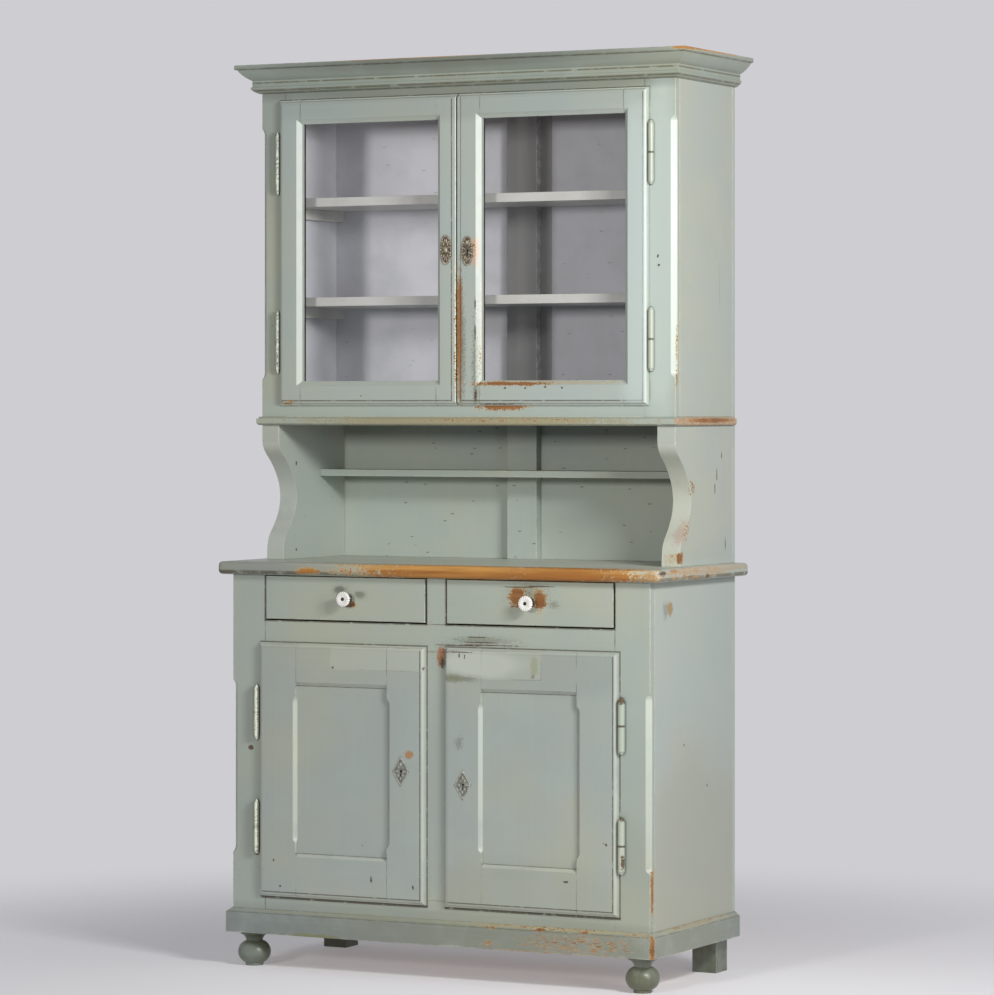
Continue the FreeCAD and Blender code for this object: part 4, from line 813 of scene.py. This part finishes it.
# %% Paint the doors and drawers
glass_door_paint = worn_paint(
    "worn_glazed_doors", main=(165, 175, 172), second=(170, 177, 167), sunk=0.2,
    lines=lip_lines(GLASS_DOORS),
    seams=rail_joints("left_glass_door_frame", "right_glass_door_frame"),
    bare=[(118, -86, 1287.5, 85, 8, 5), (-440, -90, 1242.5, 13, 6, 3.5), (-4.5, -90, 1390, 3, 30, 120)],
    chips=[(36, -90, 1262, 2.8, 6, 12), (35, -90, 1400, 1.4, 6, 16), (35, -90, 1460, 1.4, 6, 10),
        (108.2, -90, 1277.6, 2.2, 6, 1.8), (156.9, -90, 1277.5, 2.2, 6, 1.8),
        (205.3, -90, 1279.6, 2.2, 6, 1.8), (246, -90, 1278, 2, 6, 1.6), (90, -87, 1242.5, 60, 6, 1.4)],
    flaked=[(-14.5, -89, 1400, 5, 20, 170), (45.5, -87, 1330, 6, 10, 90), (31, -90, 1577, 10, 6, 20),
        (-438, -90, 1247, 30, 6, 8)],
    # The cream strips on the left door's meeting edge and on the right door's inner chamfer are painted
    # highlights.
    stains=[(200, -84, 1288.5, 220, 8, 7, (176, 164, 138), 0.7),
        (-14, -88, 1400, 4, 10, 180, (206, 200, 178), 0.6),
        (47.5, -85, 1400, 5, 8, 200, (214, 200, 180), 0.5),
        (-4, -90, 1400, 8.5, 30, 175, (132, 92, 60), 0.85),
        (36, -90, 1577, 16, 6, 34, (198, 162, 138), 0.8)],
    # A painted highlight on the right door's outer stile, also bluer.
    tints=[(421, -90, 1560, 50, 10, 500, (188, 200, 196), 0.6)],
    # Painted shade along the top rails under the cornice.
    shades=[(0, -90, 1900, 700, 20, 50, 0.12)],
    dirt=[(36, -90, 1320, 10, 6, 120), (5, -90, 1360, 8, 6, 120)])
cupboard_paint = worn_paint(
    "worn_cupboard_doors", main=(154, 162, 157), second=(162, 166, 152), sunk=0.22,
    lines=lip_lines(CUPBOARD_DOORS) + [(PANEL_LINES, 0.0, 0.0015, 0.5)],
    seams=rail_joints("left_cupboard_door_frame", "right_cupboard_door_frame"),
    patches=[(-0.2567, -0.0210, 0.6647, 0.7146), (0.0279, 0.2590, 0.6540, 0.7135)],
    chips=[(-400, -216, 240.2, 2.2, 6, 2.2), (-383.1, -216, 183.9, 2.2, 6, 1.8),
        (-50.5, -216, 197.2, 1.8, 6, 4), (-154.3, -216, 209.1, 2, 6, 6),
        (412.7, -216, 312.7, 2.6, 6, 3), (316.2, -216, 229.5, 5, 6, 2), (-250, -216, 668, 2.2, 6, 2.2),
        (-27, -216, 672, 2, 6, 4), (60, -216, 710, 28, 6, 1), (62, -216, 702, 1.5, 6, 4),
        (75, -216, 701, 1.4, 6, 4), (27.5, -212, 699, 3, 10, 20)],
    dirt=[(45, -216, 656, 26, 10, 12), (85, -216, 654, 30, 10, 8), (62, -216, 515, 10, 10, 14)],
    tints=[(110, -216, 686, 130, 10, 36, (196, 201, 190), 0.55)],
    stains=[(243, -216, 683, 10, 10, 26, (150, 152, 118), 0.6),
        (240, -216, 662, 6, 10, 6, (110, 112, 82), 0.6),
        (50, -216, 653, 30, 10, 8, (118, 122, 92), 0.6),
        (-60.3, -216, 484.2, 12.5, 10, 11.5, (158, 118, 74), 0.9)],
    # Painted shade over the right door's lower part and upper rail.
    shades=[(230, -216, 180, 340, 30, 120, 0.08), (300, -216, 680, 300, 30, 80, 0.08)])
drawer_paint = worn_paint(
    "worn_drawer_fronts", wear=1.2, joint=0.8, through=0.8,
    bare=[(197, -204, 830, 16, 10, 18), (250, -204, 823, 13, 10, 20), (-208, -204, 806, 8, 8, 6)],
    chips=[(196, -204, 851.5, 30, 6, 1), (246, -204, 854, 30, 6, 1), (-222, -204, 803, 10, 6, 3)],
    flaked=[(222, -204, 846, 48, 6, 11), (192, -204, 838, 22, 6, 16), (252, -204, 838, 18, 6, 14)],
    stains=[(-240, -204, 838, 13, 10, 8, (84, 88, 82), 0.55),
        (-243, -204, 822, 6, 10, 8, (84, 88, 82), 0.5),
        (-190, -204, 828, 12, 10, 6, (110, 114, 104), 0.5)],
    dirt=[(-238, -204, 834, 20, 10, 14), (-188, -204, 827, 18, 10, 10), (-238, -204, 820, 12, 10, 12),
        (222, -204, 838, 50, 10, 22), (284, -204, 815.4, 14, 6, 10)])
print("door paint nodes", len(glass_door_paint.node_tree.nodes))

# %% Paint the back, the shelves, the hinges and the feet
back_paint = worn_paint(
    "painted_back_boards", main=(168, 177, 170), second=(172, 177, 164), inside=LILAC, wear=0.6,
    specks=(18, 30, 60), many=0.30, speck_size=0.115,
    # Painted shadow of the waist board at the top of the niche.
    shades=[(0, 200, 1200, 700, 300, 90, 0.14)],
    # The middle stile is darker, and right of it lies a painted shadow of the meeting stiles.
    marks=[(2, 200, 1570, 37.5, 300, 9000, (170, 168, 166), 0.9),
        (53, 200, 1570, 14, 300, 9000, (150, 148, 144), 0.8)])
shelf_paint = worn_paint(
    "painted_shelves", inside=((200, 199, 195), (189, 188, 183)), joint=0.9,
    chips=[(172, -18, 1698, 8, 6, 3), (100, -18, 1686, 20, 6, 1), (-50, -18, 1686, 20, 6, 1),
        (300, -18, 1463, 20, 6, 1)])
hinge_paint = worn_paint(
    "painted_hinges", main=(166, 174, 158), second=(178, 182, 166), wear=0.5, roughness=0.30, ends=0.85,
    # Painted shade on the barrels' backs, where they sit against the frame.
    behind=[(-0.2112, -0.15), (-0.0838, 0.0)],
    # Each left barrel gets a painted highlight down its middle, and painted shade on its sides and in
    # the gap beside it.
    stains=[(-443.2, -218.5, 450, 3.4, 10, 3000, (224, 228, 212), 0.7),
        (-464.8, -89.5, 1580, 3, 10, 3000, (224, 228, 212), 0.7),
        (-456, -212, 450, 13, 30, 3000, (112, 116, 104), 0.75),
        (-436.5, -212, 450, 5.6, 30, 3000, (84, 84, 70), 0.85),
        (-476.5, -85, 1580, 13, 30, 3000, (112, 116, 104), 0.75),
        (-458.8, -85, 1580, 5.2, 30, 3000, (84, 84, 70), 0.85)],
    chips=[(447, -212, 619.5, 10, 20, 7), (447, -212, 373.5, 10, 20, 8), (452, -220, 277, 3, 10, 14),
        (-447, -212, 250, 10, 20, 3)])
foot_paint = worn_paint(
    "painted_feet", main=(88, 94, 79), second=(95, 97, 78), wear=0.5, roughness=0.26)
print("back paint nodes", len(back_paint.node_tree.nodes))

# %% [markdown]
# ## Bare wood, metal, glass and porcelain
# The unseen boards were never painted. The hardware is small but it is what the eye looks for, so
# each metal has its own tarnish: spots of brown where the surface has gone dull. The panes are
# nearly clear. They reflect more when seen at a low angle, and carry a few smudges.

# %% Mix the other finishes
def pine_finish(name, warm, deep):
    wood = Finish(name)
    grain = wood.attribute("grain")
    wood.set(Base_Color=pine_colour(wood, grain, warm, deep), Roughness=0.6)
    wood.bump(wood.noise(wood.scaled(grain, (420.0, 420.0, 14.0)), 1.0, 2.0), 0.0004, 0.5)
    return wood.material


def metal_finish(name, clean, tarnish, roughness, scale=60.0, metallic=0.85):
    metal = Finish(name)
    place = metal.place()
    spots = metal.noise(place, scale, 4.0, 0.65)
    fine = metal.noise(place, scale * 8, 2.0)
    dull = metal.ramp(spots, 0.40, 0.60)
    metal.set(Base_Color=metal.mix(dull, clean, tarnish),
              Metallic=metallic - dull * metallic * 0.6, Roughness=roughness + dull * 0.22 + fine * 0.1)
    metal.bump(spots + fine * 0.4, 0.0003, 0.5)
    return metal.material


def glass_finish():
    pane = Finish("old_window_glass")
    facing = pane.node("ShaderNodeLayerWeight", inputs={"Blend": 0.25}, output=1)
    smudge = pane.noise(pane.scaled(pane.place(), (1.0, 1.0, 1.6)), 4.0, 5.0, 0.7)
    pane.set(Base_Color=(0.90, 0.93, 0.93, 1), Metallic=1.0, Roughness=0.04 + smudge * 0.05,
             Alpha=0.016 + facing * facing * 0.20 + pane.ramp(smudge, 0.60, 0.80) * 0.03)
    return pane.material


def porcelain_finish():
    glaze = Finish("white_glaze")
    valley = glaze.attribute("valley", output=2)
    speck = glaze.noise(glaze.place(), 300.0, 3.0)
    white = glaze.mix(glaze.ramp(speck, 0.45, 0.7), (244, 243, 238), (232, 229, 220))
    glaze.set(Base_Color=glaze.mix(glaze.ramp(valley, 0.35, 0.95) * 0.8, white, (96, 94, 96)),
              Roughness=0.14)
    glaze.bump(speck, 0.0002, 0.3)
    return glaze.material


aged_pine = pine_finish("aged_pine", (178, 146, 106), (150, 116, 78))
steel = metal_finish("dull_steel", (120, 116, 110), (72, 62, 52), 0.42)
dark_steel = metal_finish("blackened_screw", (70, 66, 62), (40, 34, 30), 0.45)
brass = metal_finish("tarnished_brass", (182, 172, 150), (126, 114, 98), 0.42, 130.0, 0.45)
dark_brass = metal_finish("dirty_brass_ground", (110, 100, 86), (76, 68, 56), 0.5, 130.0, 0.3)
pale_metal = metal_finish("pale_cast_metal", (186, 186, 178), (150, 150, 140), 0.42, 130.0, 0.4)
dark_metal = metal_finish("dirty_cast_ground", (134, 138, 128), (104, 104, 94), 0.5, 130.0, 0.25)
glass = glass_finish()
porcelain = porcelain_finish()
print("metals", [m.name for m in (steel, brass, pale_metal)])

# %% [markdown]
# ## Dress every board
# All boards go through the same steps. Which paint a board wears follows from its node, and anything
# not named keeps the finish of its material slot.

# %% Dress the boards and the plain metal
SIDES = ("left", "right")
PAINT_OF = {
    "counter_top": counter_paint, "waist_board": waist_paint, "plinth": plinth_paint,
    "cornice": cornice_paint, "niche_consoles": console_paint, "lower_side_panels": side_paint,
    "upper_side_panels": side_paint, "case_shelves": shelf_paint, "shelf_cleats": shelf_paint,
    "turned_front_feet": foot_paint, "rear_block_feet": foot_paint,
}
for side in SIDES:
    PAINT_OF[side + "_glass_door_frame"] = PAINT_OF[side + "_glazing_beads"] = glass_door_paint
    PAINT_OF[side + "_cupboard_door_frame"] = PAINT_OF[side + "_cupboard_door_panel"] = cupboard_paint
    PAINT_OF[side + "_drawer_front"] = drawer_paint
SLOT_FINISH = {
    "sage_paint": case_paint, "worn_counter_paint": counter_paint, "back_board_paint": back_paint,
    "inside_paint": back_paint, "bare_pine": aged_pine, "painted_hinge_iron": hinge_paint,
    "bare_steel": steel, "tarnished_brass": brass, "pale_cast_metal": pale_metal,
    "white_porcelain": porcelain, "clear_glass": glass,
}
SMALL_SLOTS = ("bare_steel", "tarnished_brass", "pale_cast_metal", "clear_glass", "white_porcelain")
MODELLED = ("left_drawer_knob", "right_drawer_knob", "left_oval_plate", "right_oval_escutcheon",
            "left_diamond_escutcheon", "right_diamond_escutcheon")
FINE_EDGE, BOARD_EDGE = 0.0003, 0.0010
ROUND_ANGLE, FLAT_ANGLE = 35, 15
GRAIN_STEP = 0.61
for number, node in enumerate(sorted(nodes)):
    if node in MODELLED:
        continue
    finish = PAINT_OF.get(node, SLOT_FINISH[slot_of[node]])
    if "knob_screw" in node:
        finish = dark_steel
    small = slot_of[node] in SMALL_SLOTS
    round_piece = small or "feet" in node or "hinge" in node
    dress(node, finish, FINE_EDGE if small else BOARD_EDGE, number * GRAIN_STEP,
          ROUND_ANGLE if round_piece else FLAT_ANGLE)
print("dressed", len(nodes) - len(MODELLED))

# %% [markdown]
# ## The porcelain knobs
# Each drawer has one white knob like a small daisy: a dished face with thin dark valleys that run
# out from the screw, a scalloped rim, and a back that narrows to the metal collar. It starts as a
# short drum. Rings are inset on its face, its back is drawn out and narrowed, and every fourth
# column of points is pulled in to make the valleys. The same points carry the dark of the valleys.

# %% Name the knob's sizes and choose faces
COLUMNS, VALLEY_EVERY = 72, 4
DRUM_MIDDLE, DRUM_DEPTH = 0.004, 0.004
FACE_RINGS = ((0.0022, -0.0016), (0.0045, 0.0001), (0.0040, 0.0009), (0.0016, 0.0006))
BACK_STEPS = ((0.93, 0.0020), (0.74, 0.0030))
NECK_START, NECK_SHARE = 0.011, 0.66
VALLEY_START, VALLEY_PULL, VALLEY_DEPTH, RIM_DEPTH = 0.24, 0.055, 0.0004, 0.0045


def choose_faces(piece, test):
    """Select the faces whose centre and normal pass a test, and nothing else."""
    bpy.ops.mesh.select_mode(type="FACE")
    bpy.ops.mesh.select_all(action="DESELECT")
    mesh = bmesh.from_edit_mesh(piece.data)
    mesh.faces.ensure_lookup_table()
    for face in mesh.faces:
        if test(face.calc_center_median(), face.normal):
            face.select = True
    bmesh.update_edit_mesh(piece.data)


print("knob valleys", COLUMNS // VALLEY_EVERY)

# %% Model the knobs
def model_knob(node, name):
    """A fluted drum with a dished face and a neck that reaches the collar."""
    low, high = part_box(node)
    x, z = (low[0] + high[0]) / 2, (low[2] + high[2]) / 2
    tip, back, radius = low[1], high[1], (high[0] - low[0]) / 2
    select_only()
    bpy.ops.mesh.primitive_cylinder_add(vertices=COLUMNS, radius=radius * 0.995, depth=DRUM_DEPTH,
                                        location=(x, tip + DRUM_MIDDLE, z), rotation=(pi / 2, 0, 0))
    knob = bpy.context.active_object
    knob.name = name
    bpy.ops.object.transform_apply(location=True, rotation=True, scale=True)
    bpy.ops.object.mode_set(mode="EDIT")
    choose_faces(knob, lambda centre, normal: normal.y < -0.9)
    for ring, inward in FACE_RINGS:
        bpy.ops.mesh.inset(thickness=ring)
        bpy.ops.transform.translate(value=(0, inward, 0))
    choose_faces(knob, lambda centre, normal: normal.y > 0.9)
    for narrow, reach in (*BACK_STEPS, (NECK_SHARE, back - tip - NECK_START)):
        bpy.ops.mesh.extrude_region_move(TRANSFORM_OT_translate={"value": (0, reach, 0)})
        bpy.ops.transform.resize(value=(narrow, 1, narrow), center_override=(x, back, z))
    bpy.ops.object.mode_set(mode="OBJECT")
    valley = np.zeros(len(knob.data.vertices), dtype=np.float32)
    for vertex in knob.data.vertices:
        out = Vector((vertex.co.x - x, vertex.co.z - z))
        column = round((atan2(out.y, out.x) / (2 * pi)) * COLUMNS - 0.25) % COLUMNS
        if column % VALLEY_EVERY == 0 and out.length > radius * VALLEY_START:
            valley[vertex.index] = 1.0
            pull = 1 - VALLEY_PULL * min(1.0, out.length / radius)
            vertex.co.x, vertex.co.z = x + out.x * pull, z + out.y * pull
            if vertex.co.y < tip + RIM_DEPTH:
                vertex.co.y += VALLEY_DEPTH
    layer = knob.data.attributes.new("valley", "FLOAT", "POINT")
    layer.data.foreach_set("value", valley)
    smooth = knob.modifiers.new("rounded", "SUBSURF")
    smooth.levels = smooth.render_levels = 1
    bpy.ops.object.modifier_apply(modifier=smooth.name)
    bpy.ops.object.shade_smooth()
    return take_over(knob, node, porcelain)


for side in SIDES:
    knob = model_knob(side + "_drawer_knob", side + "_daisy_knob")
    print(knob.name, "triangles", sum(len(p.vertices) - 2 for p in knob.data.polygons))

# %% [markdown]
# ## Cast plates
# The keyhole plates are thin castings. The flat ground is dark with dirt and the raised ornament is
# rubbed bright: a beaded rim, petals round the middle, and on the cupboard doors a diamond frame
# with a curl at each corner. The ground keeps the construction model's plate with its keyhole. The
# ornament is made of small rounded beads and bars, modelled once each and copied.

# %% Model a bead and a plate that carries beads
def bead(place, size, turn):
    """A small rounded boss, longer one way if its size says so."""
    select_only()
    bpy.ops.mesh.primitive_ico_sphere_add(subdivisions=2, radius=1.0, location=place)
    grain = bpy.context.active_object
    grain.scale = size
    grain.rotation_euler = (0, turn, 0)
    bpy.ops.object.transform_apply(location=True, rotation=True, scale=True)
    bpy.ops.object.mode_set(mode="EDIT")
    bpy.ops.mesh.select_all(action="SELECT")
    bpy.ops.mesh.bisect(plane_co=place, plane_no=(0, 1, 0), clear_outer=True, use_fill=True)
    bpy.ops.object.mode_set(mode="OBJECT")
    bpy.ops.object.shade_smooth_by_angle(angle=radians(40))
    return grain


def cast_plate(node, name, ground, metal, marks):
    """The construction plate as dirty ground, joined with bright raised beads."""
    piece = softened_copy(node, FINE_EDGE, ROUND_ANGLE)
    piece.name = name
    take_over(piece, node, ground)
    piece.data.materials.append(metal)
    raised = []
    for place, size, turn in marks:
        grain = bead(place, size, turn)
        grain.data.materials.append(ground)
        grain.data.materials.append(metal)
        for face in grain.data.polygons:
            face.material_index = 1
        raised.append(grain)
    select_only(*raised, piece)
    bpy.ops.object.join()
    return piece


print("bead and plate ready")

# %% Place the ornament
RIM_BEAD, PETAL, BOSS = (0.0017, 0.0012, 0.0026), (0.0016, 0.0014, 0.0062), (0.0048, 0.0026, 0.0080)
BAR, CURL = (0.0012, 0.0011, 0.0042), (0.0026, 0.0014, 0.0026)
LONG_LEAF, SHORT_LEAF = (0.0020, 0.0013, 0.0046), (0.0018, 0.0012, 0.0034)
RIM_BEADS, PETALS, PETAL_REACH = 30, 12, 0.62
BAR_SHARES = (0.16, 0.32, 0.50, 0.68, 0.84)


def plate_face(node, depth, margin):
    """The middle of a plate, the depth where beads sit, and half its size inside a margin."""
    low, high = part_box(node)
    return ((low[0] + high[0]) / 2, (low[2] + high[2]) / 2, low[1] + depth,
            (high[0] - low[0]) / 2 - margin, (high[2] - low[2]) / 2 - margin)


def oval_marks(node, blank):
    """A beaded oval rim, petals and, on the blank plate, a boss in the middle."""
    x, z, face, half_wide, half_tall = plate_face(node, 0.0009, 0.0020)
    marks = []
    for step in range(RIM_BEADS):
        turn = 2 * pi * step / RIM_BEADS
        marks.append(((x + half_wide * cos(turn), face, z + half_tall * sin(turn)), RIM_BEAD, 0))
    for step in range(PETALS):
        turn = 2 * pi * (step + 0.5) / PETALS
        across, up = half_wide * cos(turn), half_tall * sin(turn)
        marks.append(((x + across * PETAL_REACH, face, z + up * PETAL_REACH), PETAL, atan2(across, up)))
    if blank:
        marks.append(((x, face, z), BOSS, 0))
    return marks


def diamond_marks(node):
    """A diamond frame of slim bars, a curl at each corner and leaves round the keyhole."""
    x, z, face, half_wide, half_tall = plate_face(node, 0.0007, 0.0025)
    marks = []
    corners = [(0, half_tall), (half_wide, 0), (0, -half_tall), (-half_wide, 0)]
    for one, two in zip(corners, corners[1:] + corners[:1]):
        lean = atan2(two[0] - one[0], two[1] - one[1])
        for share in BAR_SHARES:
            across, up = one[0] + (two[0] - one[0]) * share, one[1] + (two[1] - one[1]) * share
            marks.append(((x + across, face, z + up), BAR, lean))
        marks.append(((x + one[0] * 0.90, face, z + one[1] * 0.90), CURL, 0))
        marks.append(((x + one[0] * 0.50, face, z + one[1] * 0.50), LONG_LEAF, atan2(*one)))
        across, up = (one[0] + two[0]) * 0.30, (one[1] + two[1]) * 0.30
        marks.append(((x + across, face, z + up), SHORT_LEAF, atan2(across, up)))
    return marks


for side, kind in zip(SIDES, ("plate", "escutcheon")):
    node = side + "_oval_" + kind
    cast_plate(node, side + "_oval_casting", dark_brass, brass, oval_marks(node, kind == "plate"))
for side in SIDES:
    node = side + "_diamond_escutcheon"
    plate = cast_plate(node, side + "_diamond_casting", dark_metal, pale_metal, diamond_marks(node))
    print(plate.name, "triangles", sum(len(p.vertices) - 2 for p in plate.data.polygons))

# %% [markdown]
# ## Size
# The visual model must keep the construction model's size.
